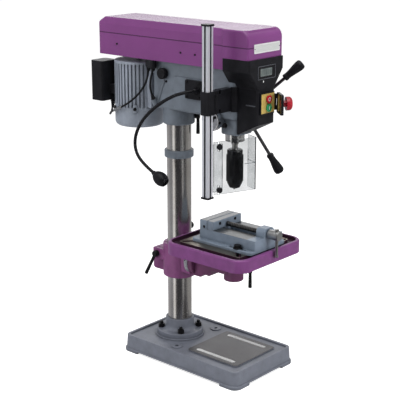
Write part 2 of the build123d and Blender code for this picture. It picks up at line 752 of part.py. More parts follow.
def table_bracket():
    """Bracket that slides on the column, with tilt face, lift gearbox and split clamp."""
    ring = rod_z(BRACKET_R, 0, COLUMN_Y, BRACKET_BOTTOM, BRACKET_TOP)
    ring = fillet(ring.edges().filter_by(GeomType.CIRCLE), CASTING_R / 2)
    tilt_low = TILT_AXIS_Z - TILT_FLANGE_R
    boss = block(
        -TILT_BOSS_HALF_W, TILT_BOSS_HALF_W, TILT_FACE_Y + 1, COLUMN_Y, tilt_low + TILT_BOSS_IN,
        TILT_AXIS_Z + TILT_FLANGE_R - TILT_BOSS_IN,
    )
    ring += fillet(boss.edges().filter_by(Axis.Y), CASTING_R)
    flange = rod_y(TILT_FLANGE_R, 0, TILT_AXIS_Z, TILT_FACE_Y, TILT_FACE_Y + TILT_FLANGE_T)
    ring += fillet(flange.edges().filter_by(GeomType.CIRCLE).group_by(Axis.Y)[-1], SOFT_EDGE)
    pinion_r = LIFT_PITCH_R + ADDENDUM * RACK_MODULE + SLIDE_GAP
    box_rear = LIFT_AXIS_Y + pinion_r + GEARBOX_WALL
    box_low = LIFT_AXIS_Z - pinion_r - GEARBOX_WALL + 2
    gearbox = block(-CLAMP_SLIT_X, GEARBOX_HALF_W, COLUMN_Y, box_rear, box_low, GEARBOX_TOP)
    ring += fillet(gearbox.edges().filter_by(Axis.X), CASTING_R)
    lug_left = -CLAMP_SLIT_X - CLAMP_LUG_T
    lug_rear = COLUMN_Y + CLAMP_LUG_BEHIND
    ring += block(
        lug_left, -CLAMP_SLIT_X + 1, COLUMN_Y, lug_rear, CLAMP_AXIS_Z - CLAMP_LUG_H / 2,
        CLAMP_AXIS_Z + CLAMP_LUG_H / 2,
    )
    ring -= rod_z(COLUMN_R + RUNNING_FIT, 0, COLUMN_Y, BRACKET_BOTTOM - 1, BRACKET_TOP + 1)
    slot = RACK_W / 2 + SLIDE_GAP
    ring -= block(-slot, slot, COLUMN_Y, RACK_CREST + SLIDE_GAP, BRACKET_BOTTOM - 1, BRACKET_TOP + 1)
    ring -= rod_x(pinion_r, LIFT_AXIS_Y, LIFT_AXIS_Z, -PINION_W / 2 - SLIDE_GAP, PINION_W / 2 + SLIDE_GAP)
    ring -= rod_x(
        LIFT_SHAFT_R + RUNNING_FIT, LIFT_AXIS_Y, LIFT_AXIS_Z, -GEARBOX_HALF_W + GEARBOX_WALL / 2, BRACKET_R,
    )
    slit_left = -CLAMP_SLIT_X - CLAMP_SLIT_W
    ring -= block(slit_left, -CLAMP_SLIT_X, COLUMN_Y, lug_rear + 1, BRACKET_BOTTOM - 1, BRACKET_TOP + 1)
    stud_end = -CLAMP_SLIT_X + CLAMP_LUG_T
    ring -= rod_x(
        CLAMP_STUD_R + RUNNING_FIT, COLUMN_Y + CLAMP_STUD_BEHIND, CLAMP_AXIS_Z, lug_left - 1, stud_end,
    )
    ring -= rod_y(TILT_BORE_R + RUNNING_FIT, 0, TILT_AXIS_Z, TILT_FACE_Y - 1, COLUMN_Y)
    return ring


def crank_shaft():
    """Lift shaft with its pinion in mesh with the rack."""
    left = -GEARBOX_HALF_W + GEARBOX_WALL / 2 + SLIDE_GAP
    shaft = rod_x(LIFT_SHAFT_R, LIFT_AXIS_Y, LIFT_AXIS_Z, left, CRANK_ARM_X + CRANK_ARM_T)
    return shaft + pinion_x(RACK_MODULE, LIFT_TEETH, LIFT_AXIS_Y, LIFT_AXIS_Z, PINION_W / 2)


def crank_handle():
    """Cast crank arm on the lift shaft, with its turned knob."""
    arm_end = LIFT_AXIS_Z + CRANK_ARM_L
    right = CRANK_ARM_X + CRANK_ARM_T
    arm = rod_x(CRANK_HUB_R, LIFT_AXIS_Y, LIFT_AXIS_Z, CRANK_ARM_X, right)
    arm += rod_x(CRANK_EYE_R, LIFT_AXIS_Y, arm_end, CRANK_ARM_X, right)
    arm += block(
        CRANK_ARM_X, right, LIFT_AXIS_Y - CRANK_WEB, LIFT_AXIS_Y + CRANK_WEB, LIFT_AXIS_Z, arm_end,
    )
    arm -= rod_x(LIFT_SHAFT_R + RUNNING_FIT, LIFT_AXIS_Y, LIFT_AXIS_Z, CRANK_ARM_X - 1, right + 1)
    neck = rod_between(
        (right, LIFT_AXIS_Y, arm_end), (right + CRANK_KNOB_L, LIFT_AXIS_Y, arm_end), CRANK_KNOB_R * 0.7,
        CRANK_KNOB_R,
    )
    knob = fillet(neck.edges().filter_by(GeomType.CIRCLE), SOFT_EDGE)
    return arm + knob


def hand_lever(hub, outward, hang, length, stud_r, stud_depth):
    """A hand lever: stud and hub along one direction, with the grip hanging along another."""
    hub = Vector(*hub)
    outward = Vector(*outward).normalized()
    hang = Vector(*hang).normalized()
    tip = hub + outward * LEVER_HUB_L
    middle = hub + outward * (LEVER_HUB_L * 0.6)
    lever = rod_between(hub, tip, LEVER_HUB_R)
    lever = chamfer(lever.edges().filter_by(GeomType.CIRCLE), EDGE_BREAK)
    lever += rod_between(hub - outward * stud_depth, hub, stud_r)
    end = middle + hang * length
    lever += rod_between(middle, end, LEVER_ROD_R)
    grip = rod_between(middle + hang * (length * 0.3), end, LEVER_GRIP_R * 0.85, LEVER_GRIP_R)
    return lever + fillet(grip.edges().filter_by(GeomType.CIRCLE), EDGE_BREAK)


def clamp_lever():
    """Lever that pinches the bracket on the column."""
    hub = (-CLAMP_SLIT_X - CLAMP_LUG_T - SEAT_GAP, COLUMN_Y + CLAMP_STUD_BEHIND, CLAMP_AXIS_Z)
    slant = math.radians(CLAMP_LEVER_SLANT)
    hang = (0, math.sin(slant), -math.cos(slant))
    depth = 2 * CLAMP_LUG_T - SLIDE_GAP
    return hand_lever(hub, (-1, 0, 0), hang, CLAMP_LEVER_L, CLAMP_STUD_R, depth)


def table_arm():
    """Arm that tilts on the bracket and carries the table in its split boss."""
    face = TILT_FACE_Y - SEAT_GAP
    flange_front = face - TILT_FLANGE_T
    boss_top = TABLE_TOP - TABLE_PLATE_T - TABLE_HUB_H - SEAT_GAP
    flange = rod_y(TILT_FLANGE_R, 0, TILT_AXIS_Z, face, flange_front)
    arm = fillet(flange.edges().filter_by(GeomType.CIRCLE).group_by(Axis.Y)[0], SOFT_EDGE)
    root_front = flange_front - ARM_ROOT_L
    flat_front = root_front - ARM_STEP_L - ARM_FLAT_L
    side = [
        (face, ARM_ROOT_BOTTOM),
        (root_front, ARM_ROOT_BOTTOM),
        (root_front - ARM_STEP_L, ARM_ROOT_BOTTOM + ARM_STEP_UP),
        (flat_front, ARM_ROOT_BOTTOM + ARM_STEP_UP - ARM_FLAT_FALL),
        (flat_front - ARM_RISE_L, ARM_END_BOTTOM),
        (SPINDLE_Y, ARM_END_BOTTOM),
        (SPINDLE_Y, ARM_TOP),
        (face, ARM_TOP - ARM_TOP_FALL),
    ]
    profile = Plane(origin=(-ARM_HALF_W, 0, 0), x_dir=(0, 1, 0), z_dir=(1, 0, 0)) * make_face(
        Polyline(*side, close=True),
    )
    beam = extrude(profile, 2 * ARM_HALF_W, dir=(1, 0, 0))
    beam = fillet(
        beam.edges().filter_by(Axis.X).filter_by_position(Axis.Z, 0, ARM_END_BOTTOM + CUT_OVER),
        CASTING_R / 2,
    )
    arm += beam
    boss = rod_z(ARM_BOSS_R, 0, SPINDLE_Y, ARM_BOSS_BOTTOM, boss_top)
    arm += fillet(boss.edges().filter_by(GeomType.CIRCLE).group_by(Axis.Z)[0], SOFT_EDGE)
    arm += rod_y(TILT_BORE_R, 0, TILT_AXIS_Z, face - 1, COLUMN_Y - COLUMN_R - 2 * SEAT_GAP)
    hub, outward = table_lock_place()
    stud_tip = hub - outward * table_lock_depth()
    lug_end = hub - outward * SEAT_GAP
    lug = rod_between(stud_tip + outward, lug_end, LOCK_LUG_R)
    arm += lug
    arm -= rod_z(TABLE_STEM_R + RUNNING_FIT, 0, SPINDLE_Y, ARM_BOSS_BOTTOM - 1, boss_top + 1)
    arm -= rod_between(stud_tip - outward, hub + outward, CLAMP_STUD_R + RUNNING_FIT)
    return arm


def table_lock_place():
    """Where the table lock sits on the arm's boss, and the way it points."""
    turn = math.radians(TABLE_LOCK_ANGLE)
    outward = Vector(math.cos(turn), math.sin(turn), 0)
    hub = Vector(0, SPINDLE_Y, TILT_AXIS_Z) + outward * (ARM_BOSS_R + LOCK_LUG_L + SEAT_GAP)
    return hub, outward


def table_lock_depth():
    """Depth of the table lock's stud, which stops just short of the stem."""
    return ARM_BOSS_R + LOCK_LUG_L - TABLE_STEM_R - SLIDE_GAP


def table_lock_lever():
    """Short lever that locks the table in its boss."""
    hub, outward = table_lock_place()
    return hand_lever(hub, outward, (0, 0, -1), SHORT_LEVER_L, CLAMP_STUD_R, table_lock_depth())


def table():
    """Square table with raised rim, coolant trough, diagonal slots, apron and stem."""
    low = TABLE_RIM_TOP - TABLE_APRON_H
    body = slab(TABLE_W, TABLE_L, TABLE_R, 0, SPINDLE_Y, low, TABLE_RIM_TOP)
    body = fillet(body.edges().group_by(Axis.Z)[-1], TABLE_RIM_ROUND)
    inner_w = TABLE_W - 2 * TABLE_RIM_W
    inner_l = TABLE_L - 2 * TABLE_RIM_W
    inner_r = TABLE_R - TABLE_RIM_W
    trough = TABLE_TOP - TROUGH_DEPTH
    body -= slab(inner_w, inner_l, inner_r, 0, SPINDLE_Y, trough, TABLE_RIM_TOP + 1)
    top_w = inner_w - 2 * TROUGH_W
    top_l = inner_l - 2 * TROUGH_W
    body += slab(top_w, top_l, inner_r - TROUGH_W, 0, SPINDLE_Y, trough, TABLE_TOP)
    under = TABLE_TOP - TABLE_PLATE_T
    body -= slab(inner_w, inner_l, inner_r, 0, SPINDLE_Y, low - 1, under)
    body += rod_z(TABLE_HUB_R, 0, SPINDLE_Y, under - TABLE_HUB_H, under)
    body += rod_z(TABLE_STEM_R, 0, SPINDLE_Y, ARM_BOSS_BOTTOM + SLIDE_GAP, under)
    body -= rod_z(TABLE_HOLE_R, 0, SPINDLE_Y, ARM_BOSS_BOTTOM - 1, TABLE_TOP + 1)
    for quarter in range(4):
        turn = Pos(0, SPINDLE_Y, 0) * Rot(0, 0, 45 + 90 * quarter)
        slot = extrude(SlotOverall(TABLE_SLOT_L, TABLE_SLOT_W), 2 * TABLE_PLATE_T)
        body -= turn * Pos(TABLE_SLOT_FROM + TABLE_SLOT_L / 2, 0, under - 2) * slot
    return body


def vice_front_y():
    """Front of the vice, set back from the front edge of the table."""
    return SPINDLE_Y - TABLE_L / 2 + VICE_SETBACK


def vice_base():
    """Vice body: fixed jaw, bed with channel, bolting flange and the nut boss at the front."""
    front = vice_front_y()
    rear = front + VICE_BED_L
    half = VICE_JAW_W / 2
    body = block(-half, half, rear - VICE_FIXED_T, rear, TABLE_TOP, VICE_TOP)
    back = body.edges().filter_by(Axis.Z).group_by(Axis.Y)[-1]
    body = fillet(back + body.edges().group_by(Axis.Z)[-1], VICE_EDGE_R)
    bed = block(-half, half, front, rear - VICE_EDGE_R, TABLE_TOP, VICE_BED_TOP)
    body += fillet(bed.edges().filter_by(Axis.Z).group_by(Axis.Y)[0], VICE_EDGE_R)
    flange = slab(
        VICE_FLANGE_W, VICE_FLANGE_L, VICE_FLANGE_R, 0, front + VICE_FLANGE_L / 2, TABLE_TOP,
        TABLE_TOP + VICE_FLANGE_T,
    )
    body += fillet(flange.edges().group_by(Axis.Z)[-1], VICE_EDGE_R)
    nut = VICE_NUT_W / 2
    boss = block(-nut, nut, front, front + VICE_NUT_T, TABLE_TOP + VICE_FLANGE_T, VICE_TOP)
    body += fillet(boss.edges().filter_by(Axis.Y).group_by(Axis.Z)[-1], VICE_NUT_ROUND)
    channel = VICE_CHANNEL_W / 2
    body -= block(
        -channel, channel, front + VICE_NUT_T, rear - VICE_FIXED_T, TABLE_TOP + VICE_CHANNEL_FLOOR,
        VICE_TOP + 1,
    )
    body -= rod_y(VICE_SCREW_R + RUNNING_FIT, 0, VICE_SCREW_Z, front - 1, front + VICE_NUT_T + 1)
    for side in (-1, 1):
        slot_x = side * (VICE_FLANGE_W / 2 - VICE_SLOT_IN)
        slot = Pos(slot_x, front + VICE_SLOT_BACK, TABLE_TOP - 1) * Rot(0, 0, 90)
        body -= slot * extrude(SlotOverall(VICE_SLOT_L, VICE_SLOT_W), VICE_FLANGE_T + 2)
    return body


def vice_jaw_rear():
    """Rear face of the moving jaw when the vice is shut."""
    return vice_front_y() + VICE_BED_L - VICE_FIXED_T - SEAT_GAP


def vice_jaw():
    """Moving jaw with the tongue that guides it in the channel."""
    rear = vice_jaw_rear()
    half = VICE_JAW_W / 2
    front = rear - VICE_JAW_T
    jaw = block(-half, half, front, rear, VICE_BED_TOP + SEAT_GAP, VICE_TOP)
    jaw = fillet(jaw.edges().filter_by(Axis.Z) + jaw.edges().group_by(Axis.Z)[-1], VICE_EDGE_R)
    tongue = VICE_CHANNEL_W / 2 - SLIDE_GAP
    jaw += block(-tongue, tongue, front, rear, TABLE_TOP + VICE_CHANNEL_FLOOR + SLIDE_GAP, VICE_BED_TOP + 1)
    return jaw - rod_y(VICE_SCREW_R + RUNNING_FIT, 0, VICE_SCREW_Z, front - 1, front + VICE_JAW_T / 2)


def tommy_bar_y():
    """Place of the tommy bar, just ahead of the table's rim when the vice is shut."""
    return SPINDLE_Y - TABLE_L / 2 - TOMMY_CLEAR


def vice_screw():
    """Screw with its hub, cross-bored for the tommy bar."""
    rear = vice_front_y() - VICE_HUB_GAP
    tip = vice_jaw_rear() - VICE_JAW_T / 2 - SLIDE_GAP
    screw = rod_y(VICE_SCREW_R, 0, VICE_SCREW_Z, rear, tip)
    hub = rod_y(VICE_HUB_R, 0, VICE_SCREW_Z, tommy_bar_y() - VICE_HUB_END, rear)
    screw += chamfer(hub.edges().filter_by(GeomType.CIRCLE), EDGE_BREAK)
    return screw - rod_z(
        TOMMY_R + RUNNING_FIT, 0, tommy_bar_y(), VICE_SCREW_Z - VICE_HUB_R - 1,
        VICE_SCREW_Z + VICE_HUB_R + 1,
    )


def tommy_bar():
    """Sliding bar of the vice screw, hanging by its upper end."""
    middle = tommy_bar_y()
    top = VICE_SCREW_Z + VICE_HUB_R + SEAT_GAP
    low = top + TOMMY_END_L - TOMMY_L
    bar = rod_z(TOMMY_R, 0, middle, low, top)
    bar += rod_z(TOMMY_END_R, 0, middle, top, top + TOMMY_END_L)
    return bar + rod_z(TOMMY_END_R, 0, middle, low, low + TOMMY_END_L)


def head_casting():
    """Head: column boss, hollow bridge, quill block, feed boss and the bores for what it carries."""
    bridge = block(-HEAD_HALF_W, HEAD_HALF_W, HEAD_FRONT_Y, HEAD_REAR_Y, HEAD_BOTTOM, HEAD_TOP)
    bridge = fillet(bridge.edges().filter_by(Axis.Z), HEAD_EDGE_R)
    bridge = fillet(bridge.edges().group_by(Axis.Z)[0], HEAD_LOW_R)
    boss = rod_z(HEAD_BOSS_R, 0, COLUMN_Y, HEAD_BOSS_BOTTOM, HEAD_TOP)
    body = bridge + fillet(boss.edges().filter_by(GeomType.CIRCLE).group_by(Axis.Z)[0], HEAD_LOW_R)
    panel_side = Plane(origin=(0, COLUMN_Y - PANEL_AHEAD, PANEL_Z), x_dir=(0, 1, 0), z_dir=(1, 0, 0))
    panel = extrude(RectangleRounded(PANEL_L, PANEL_H, PANEL_R), HEAD_HALF_W + PANEL_T, both=True)
    panel = chamfer(panel.edges().group_by(Axis.Z)[0] + panel.edges().group_by(Axis.Z)[-1], PANEL_T / 2)
    body += panel_side * panel
    quill_rear = HEAD_FRONT_Y + QUILL_BLOCK_REAR
    low = block(
        -QUILL_BLOCK_HALF_W, QUILL_BLOCK_HALF_W, HEAD_FRONT_Y, quill_rear, HEAD_BOSS_BOTTOM,
        HEAD_BOTTOM + 1,
    )
    low = fillet(low.edges().filter_by(Axis.Z), HEAD_EDGE_R)
    body += fillet(low.edges().group_by(Axis.Z)[0], HEAD_LOW_R)
    feed_boss = rod_x(FEED_BOSS_R, FEED_Y, FEED_Z, -HEAD_HALF_W, FEED_BOSS_RIGHT)
    body += chamfer(feed_boss.edges().filter_by(GeomType.CIRCLE).group_by(Axis.X)[-1], EDGE_BREAK)
    pinion_r = FEED_PITCH_R + ADDENDUM * FEED_MODULE + SLIDE_GAP
    inner = HEAD_HALF_W - HEAD_WALL
    hollow_front = FEED_Y + FEED_BOSS_R + HEAD_WALL
    hollow_rear = COLUMN_Y - HEAD_BOSS_R - SLIDE_GAP
    body -= block(-inner, inner, hollow_front, hollow_rear, HEAD_BOTTOM - 1, HEAD_TOP - HEAD_WALL)
    body -= rod_z(COLUMN_R + RUNNING_FIT, 0, COLUMN_Y, HEAD_BOSS_BOTTOM - 1, COLUMN_TOP + SEAT_GAP)
    body -= rod_z(QUILL_R + RUNNING_FIT, 0, SPINDLE_Y, HEAD_BOSS_BOTTOM - 1, QUILL_BORE_TOP)
    body -= rod_z(PULLEY_SLEEVE_R + RUNNING_FIT, 0, SPINDLE_Y, QUILL_BORE_TOP - 1, HEAD_TOP + 1)
    body -= rod_x(FEED_SHAFT_R + RUNNING_FIT, FEED_Y, FEED_Z, -HEAD_HALF_W - 1, FEED_BOSS_RIGHT + 1)
    body -= rod_x(pinion_r, FEED_Y, FEED_Z, -PINION_W / 2 - SLIDE_GAP, PINION_W / 2 + SLIDE_GAP)
    for side in (-1, 1):
        body -= rod_y(BAR_R + RUNNING_FIT, side * BAR_X, BAR_Z, HEAD_REAR_Y - BAR_DEPTH, HEAD_REAR_Y + 1)
    before, end = [Vector(*point) for point in head_lead_route()[-2:]]
    gland = (end - before).normalized()
    body += rod_between(end + gland * SEAT_GAP, end + gland * 3 * GLAND_L, GLAND_R)
    knob_y = COLUMN_Y + LOCK_KNOB_BEHIND
    body -= rod_x(LOCK_STUD_R + RUNNING_FIT, knob_y, BAR_Z, -HEAD_HALF_W - 1, -BAR_X)
    hub, outward = head_lever_place()
    body -= rod_between(
        hub - outward * (HEAD_BOSS_R - COLUMN_R + 1), hub + outward, CLAMP_STUD_R + RUNNING_FIT,
    )
    return body


def motor_lock_knob():
    """Round knob whose stud locks the left motor slide bar."""
    knob_y = COLUMN_Y + LOCK_KNOB_BEHIND
    inner = -HEAD_HALF_W - SEAT_GAP
    knob = rod_x(LOCK_KNOB_R, knob_y, BAR_Z, inner - LOCK_KNOB_L, inner)
    knob = fillet(knob.edges().filter_by(GeomType.CIRCLE), SOFT_EDGE)
    return knob + rod_x(LOCK_STUD_R, knob_y, BAR_Z, inner, -BAR_X - BAR_R - SEAT_GAP)


def head_lever_place():
    """Where the head lock sits on the column boss, and the way it points."""
    turn = math.radians(HEAD_LEVER_ANGLE)
    outward = Vector(math.cos(turn), math.sin(turn), 0)
    hub = Vector(0, COLUMN_Y, HEAD_LEVER_Z) + outward * (HEAD_BOSS_R + SEAT_GAP)
    return hub, outward


def head_lever():
    """Short lever that locks the head on the column."""
    hub, outward = head_lever_place()
    depth = HEAD_BOSS_R - COLUMN_R - SLIDE_GAP
    return hand_lever(hub, outward, (0, 0, -1), SHORT_LEVER_L, CLAMP_STUD_R, depth)


def quill():
    """Quill with the feed rack milled into its rear side."""
    tube = rod_z(QUILL_R, 0, SPINDLE_Y, QUILL_BOTTOM, QUILL_TOP)
    tube -= rod_z(QUILL_BORE_R, 0, SPINDLE_Y, QUILL_BOTTOM + QUILL_LAND, QUILL_TOP - QUILL_LAND)
    tube -= rod_z(SPINDLE_R + RUNNING_FIT, 0, SPINDLE_Y, QUILL_BOTTOM - 1, QUILL_TOP + 1)
    crest = SPINDLE_Y + QUILL_CREST
    root = QUILL_PITCH_Y - DEDENDUM * FEED_MODULE
    outside = SPINDLE_Y + QUILL_R + 1
    teeth = rack_line(FEED_MODULE, FEED_Z, QUILL_CUT_BOTTOM, QUILL_CUT_TOP)
    outline = [(outside, QUILL_CUT_BOTTOM), (crest, QUILL_CUT_BOTTOM), (root, teeth[0][0] - 1)]
    outline += [(QUILL_PITCH_Y + height, along) for along, height in teeth]
    outline += [(root, teeth[-1][0] + 1), (crest, QUILL_CUT_TOP), (outside, QUILL_CUT_TOP)]
    half = PINION_W / 2 + QUILL_CUT_GAP
    face = Plane(origin=(-half, 0, 0), x_dir=(0, 1, 0), z_dir=(1, 0, 0)) * make_face(
        Polyline(*outline, close=True),
    )
    return tube - extrude(face, 2 * half, dir=(1, 0, 0))


def spindle():
    """Spindle: drive end in the pulley, journals in the quill, nose and arbor for the chuck."""
    shaft = rod_z(SPINDLE_DRIVE_R, 0, SPINDLE_Y, SPINDLE_DRIVE_BOTTOM, SPINDLE_TOP)
    shaft += rod_z(SPINDLE_R, 0, SPINDLE_Y, SPINDLE_NOSE_BOTTOM, SPINDLE_DRIVE_BOTTOM)
    nose_top = QUILL_BOTTOM - SEAT_GAP
    shaft += rod_between(
        (0, SPINDLE_Y, SPINDLE_NOSE_BOTTOM), (0, SPINDLE_Y, nose_top), SPINDLE_R, SPINDLE_NOSE_R,
    )
    return shaft + rod_z(ARBOR_R, 0, SPINDLE_Y, ARBOR_BOTTOM, SPINDLE_NOSE_BOTTOM)


def jaw_axes():
    """Tip and direction of each chuck jaw; the jaws converge below the chuck."""
    lean = math.radians(JAW_ANGLE)
    tip_z = CHUCK_BOTTOM - JAW_TIP_BELOW
    axes = []
    for count in range(3):
        turn = math.radians(120 * count + 90)
        tip = Vector(JAW_TIP_RADIUS * math.cos(turn), SPINDLE_Y + JAW_TIP_RADIUS * math.sin(turn), tip_z)
        upward = Vector(math.sin(lean) * math.cos(turn), math.sin(lean) * math.sin(turn), math.cos(lean))
        axes.append((tip, upward))
    return axes


def chuck_body():
    """Chuck body: arbor socket on top, guide bores for the jaws, conical nose below."""
    body = rod_z(CHUCK_NECK_R, 0, SPINDLE_Y, CHUCK_SHOULDER, CHUCK_TOP)
    body += rod_z(CHUCK_R, 0, SPINDLE_Y, SLEEVE_BOTTOM - CHUCK_LAND, CHUCK_SHOULDER)
    nose_top = SLEEVE_BOTTOM - CHUCK_LAND
    body += rod_between(
        (0, SPINDLE_Y, CHUCK_BOTTOM), (0, SPINDLE_Y, nose_top), CHUCK_NOSE_R, CHUCK_NOSE_TOP_R,
    )
    body -= rod_z(ARBOR_R + RUNNING_FIT, 0, SPINDLE_Y, ARBOR_BOTTOM - 2, CHUCK_TOP + 1)
    for tip, upward in jaw_axes():
        top = tip + upward * (JAW_LEN + JAW_TRAVEL + 2)
        body -= rod_between(tip - upward * JAW_TIP_BELOW, top, JAW_R + RUNNING_FIT)
    return body


def chuck_sleeve():
    """Ribbed sleeve that is turned by hand to move the jaws."""
    sleeve = rod_z(SLEEVE_R, 0, SPINDLE_Y, SLEEVE_BOTTOM, SLEEVE_TOP)
    sleeve = chamfer(sleeve.edges().filter_by(GeomType.CIRCLE), EDGE_BREAK)
    sleeve -= rod_z(CHUCK_R + SLIDE_GAP, 0, SPINDLE_Y, SLEEVE_BOTTOM - 1, SLEEVE_TOP + 1)
    groove_r = math.pi * SLEEVE_R / SLEEVE_RIBS / 2
    reach = SLEEVE_R + groove_r - SLEEVE_RIB_DEPTH
    grooves = []
    for count in range(SLEEVE_RIBS):
        turn = 2 * math.pi * count / SLEEVE_RIBS
        x = reach * math.cos(turn)
        y = SPINDLE_Y + reach * math.sin(turn)
        grooves.append(rod_z(groove_r, x, y, SLEEVE_BOTTOM + SLEEVE_MARGIN, SLEEVE_TOP - SLEEVE_MARGIN))
    return sleeve - grooves


def feed_shaft():
    """Feed shaft with its pinion in mesh with the quill, and the hub for the arms."""
    shaft = rod_x(FEED_SHAFT_R, FEED_Y, FEED_Z, -HEAD_HALF_W, FEED_BOSS_RIGHT + 1)
    shaft += pinion_x(FEED_MODULE, FEED_TEETH, FEED_Y, FEED_Z, PINION_W / 2)
    shaft += rod_x(
        SPRING_ARBOR_R, FEED_Y, FEED_Z, -HEAD_HALF_W - SPRING_CASE_T + 2 * SPRING_CASE_WALL, -HEAD_HALF_W,
    )
    hub_left = FEED_BOSS_RIGHT + SEAT_GAP
    hub = rod_x(FEED_HUB_R, FEED_Y, FEED_Z, hub_left, hub_left + FEED_HUB_L)
    shaft += fillet(hub.edges().filter_by(GeomType.CIRCLE), SOFT_EDGE)
    for start, along in feed_arm_axes():
        shaft -= rod_between(
            start + along * FEED_SHAFT_R, start + along * FEED_HUB_R * 2, FEED_ARM_R + RUNNING_FIT,
        )
    return shaft


def feed_arm_axes():
    """Start and direction of each feed arm: evenly spaced, leaning away from the head."""
    slant = math.radians(FEED_ARM_SLANT)
    axes = []
    for count in range(FEED_ARMS):
        turn = math.radians(FEED_ARM_FIRST + 360 * count / FEED_ARMS)
        along = Vector(math.sin(slant), -math.cos(slant) * math.cos(turn), math.cos(slant) * math.sin(turn))
        axes.append((Vector(FEED_ARM_X, FEED_Y, FEED_Z), along))
    return axes


def feed_arms():
    """Three steel arms screwed into the hub."""
    arms = []
    for start, along in feed_arm_axes():
        root = start + along * (FEED_SHAFT_R + SEAT_GAP)
        arms.append(rod_between(root, start + along * (FEED_ARM_L - GRIP_L / 2), FEED_ARM_R))
    return Compound(arms)


def feed_grips():
    """Three moulded grips on the arms, slim at the neck and round at the end."""
    grips = []
    for start, along in feed_arm_axes():
        neck = start + along * (FEED_ARM_L - GRIP_L)
        tip = start + along * FEED_ARM_L
        grip = rod_between(neck, tip, GRIP_NECK_R, GRIP_END_R)
        grip = fillet(grip.edges().filter_by(GeomType.CIRCLE), GRIP_ROUND)
        bore_end = start + along * (FEED_ARM_L - GRIP_L / 2 + SEAT_GAP)
        grips.append(grip - rod_between(neck - along, bore_end, FEED_ARM_R + RUNNING_FIT))
    return Compound(grips)


def spring_case():
    """Round case of the quill return spring on the left of the head."""
    inner = -HEAD_HALF_W
    case = rod_x(SPRING_CASE_R, FEED_Y, FEED_Z, inner - SPRING_CASE_T, inner)
    case = fillet(case.edges().filter_by(GeomType.CIRCLE).group_by(Axis.X)[0], SOFT_EDGE)
    hollow = rod_x(
        SPRING_CASE_R - SPRING_CASE_WALL, FEED_Y, FEED_Z, inner - SPRING_CASE_T + SPRING_CASE_WALL,
        inner + 1,
    )
    return case - hollow


def housing_plan(z, grow):
    """Plan of the belt housing at a height, grown or shrunk all round."""
    mid = (TRAY_FRONT_Y + TRAY_REAR_Y) / 2
    length = TRAY_REAR_Y - TRAY_FRONT_Y
    return Pos(0, mid, z) * RectangleRounded(2 * (TRAY_HALF_W + grow), length + 2 * grow, TRAY_R + grow)


def housing_form(z0, z1, grow):
    """Upright form of the belt housing between two heights."""
    return extrude(housing_plan(z0, grow), z1 - z0)


def belt_tray():
    """Lower half of the belt housing, with openings for the spindle sleeve and the motor shaft."""
    body = housing_form(HEAD_TOP, SEAM_Z, 0)
    band_mid = (BAND_FRONT_Y + BAND_REAR_Y) / 2
    body += slab(2 * BAND_HALF_W, BAND_LENGTH, BAND_R, 0, band_mid, BAND_BOTTOM, SEAM_Z)
    body -= housing_form(HEAD_TOP + TRAY_WALL, SEAM_Z + 1, -TRAY_WALL)
    body -= rod_z(PULLEY_SLEEVE_R + SLIDE_GAP, 0, SPINDLE_Y, HEAD_TOP - 1, HEAD_TOP + TRAY_WALL + 1)
    slot = Pos(0, MOTOR_Y, HEAD_TOP - 1) * Rot(0, 0, 90)
    body -= slot * extrude(SlotCenterToCenter(2 * SHAFT_SLOT_TRAVEL, 2 * SHAFT_SLOT_R), TRAY_WALL + 2)
    hinge_y = TRAY_REAR_Y + HINGE_BEHIND
    body += rod_x(HINGE_KNUCKLE_R, hinge_y, SEAM_Z, -HINGE_MIDDLE, HINGE_MIDDLE)
    body += block(-HINGE_MIDDLE, HINGE_MIDDLE, TRAY_REAR_Y - 1, hinge_y, SEAM_Z - 3 * HINGE_KNUCKLE_R, SEAM_Z)
    body += rod_x(HINGE_PIN_R, hinge_y, SEAM_Z, -HINGE_HALF_L, HINGE_HALF_L)
    for gland_x, gland_y, below in (lead_route()[0], head_lead_route()[0]):
        body += rod_z(GLAND_R, gland_x, gland_y, below + SEAT_GAP, HEAD_TOP + 1)
    return body


def lid_slope(inset):
    """Wedge that slopes the rear top edge of the lid, moved inwards by an inset."""
    slant = math.hypot(LID_SLOPE_L, LID_SHOULDER)
    outer = TRAY_REAR_Y + LID_SLOPE_L
    peak = LID_TOP + LID_SHOULDER
    level = LID_TOP - 2 * LID_SHOULDER - inset * slant / LID_SLOPE_L
    inner = TRAY_REAR_Y - 2 * LID_SLOPE_L - inset * slant / LID_SHOULDER
    place = Plane(origin=(-BAND_HALF_W, 0, 0), x_dir=(0, 1, 0), z_dir=(1, 0, 0))
    side = Polyline((outer, level), (outer, peak), (inner, peak), close=True)
    return place * extrude(make_face(side), 2 * BAND_HALF_W)


def lid_front():
    """Wider front of the lid, well rounded from its top to its front."""
    body = block(-BAND_HALF_W, BAND_HALF_W, BAND_FRONT_Y, BAND_REAR_Y, SEAM_Z + SEAT_GAP, LID_TOP)
    across = body.edges().filter_by(Axis.X).group_by(Axis.Z)[-1]
    body = fillet(across.group_by(Axis.Y)[0], FRONT_ROUND)
    ends = body.faces().group_by(Axis.X)[0].edges() + body.faces().group_by(Axis.X)[-1].edges()
    return fillet([edge for edge in ends if edge.center().Z > SEAM_Z + 2 * SEAT_GAP], BAND_R)


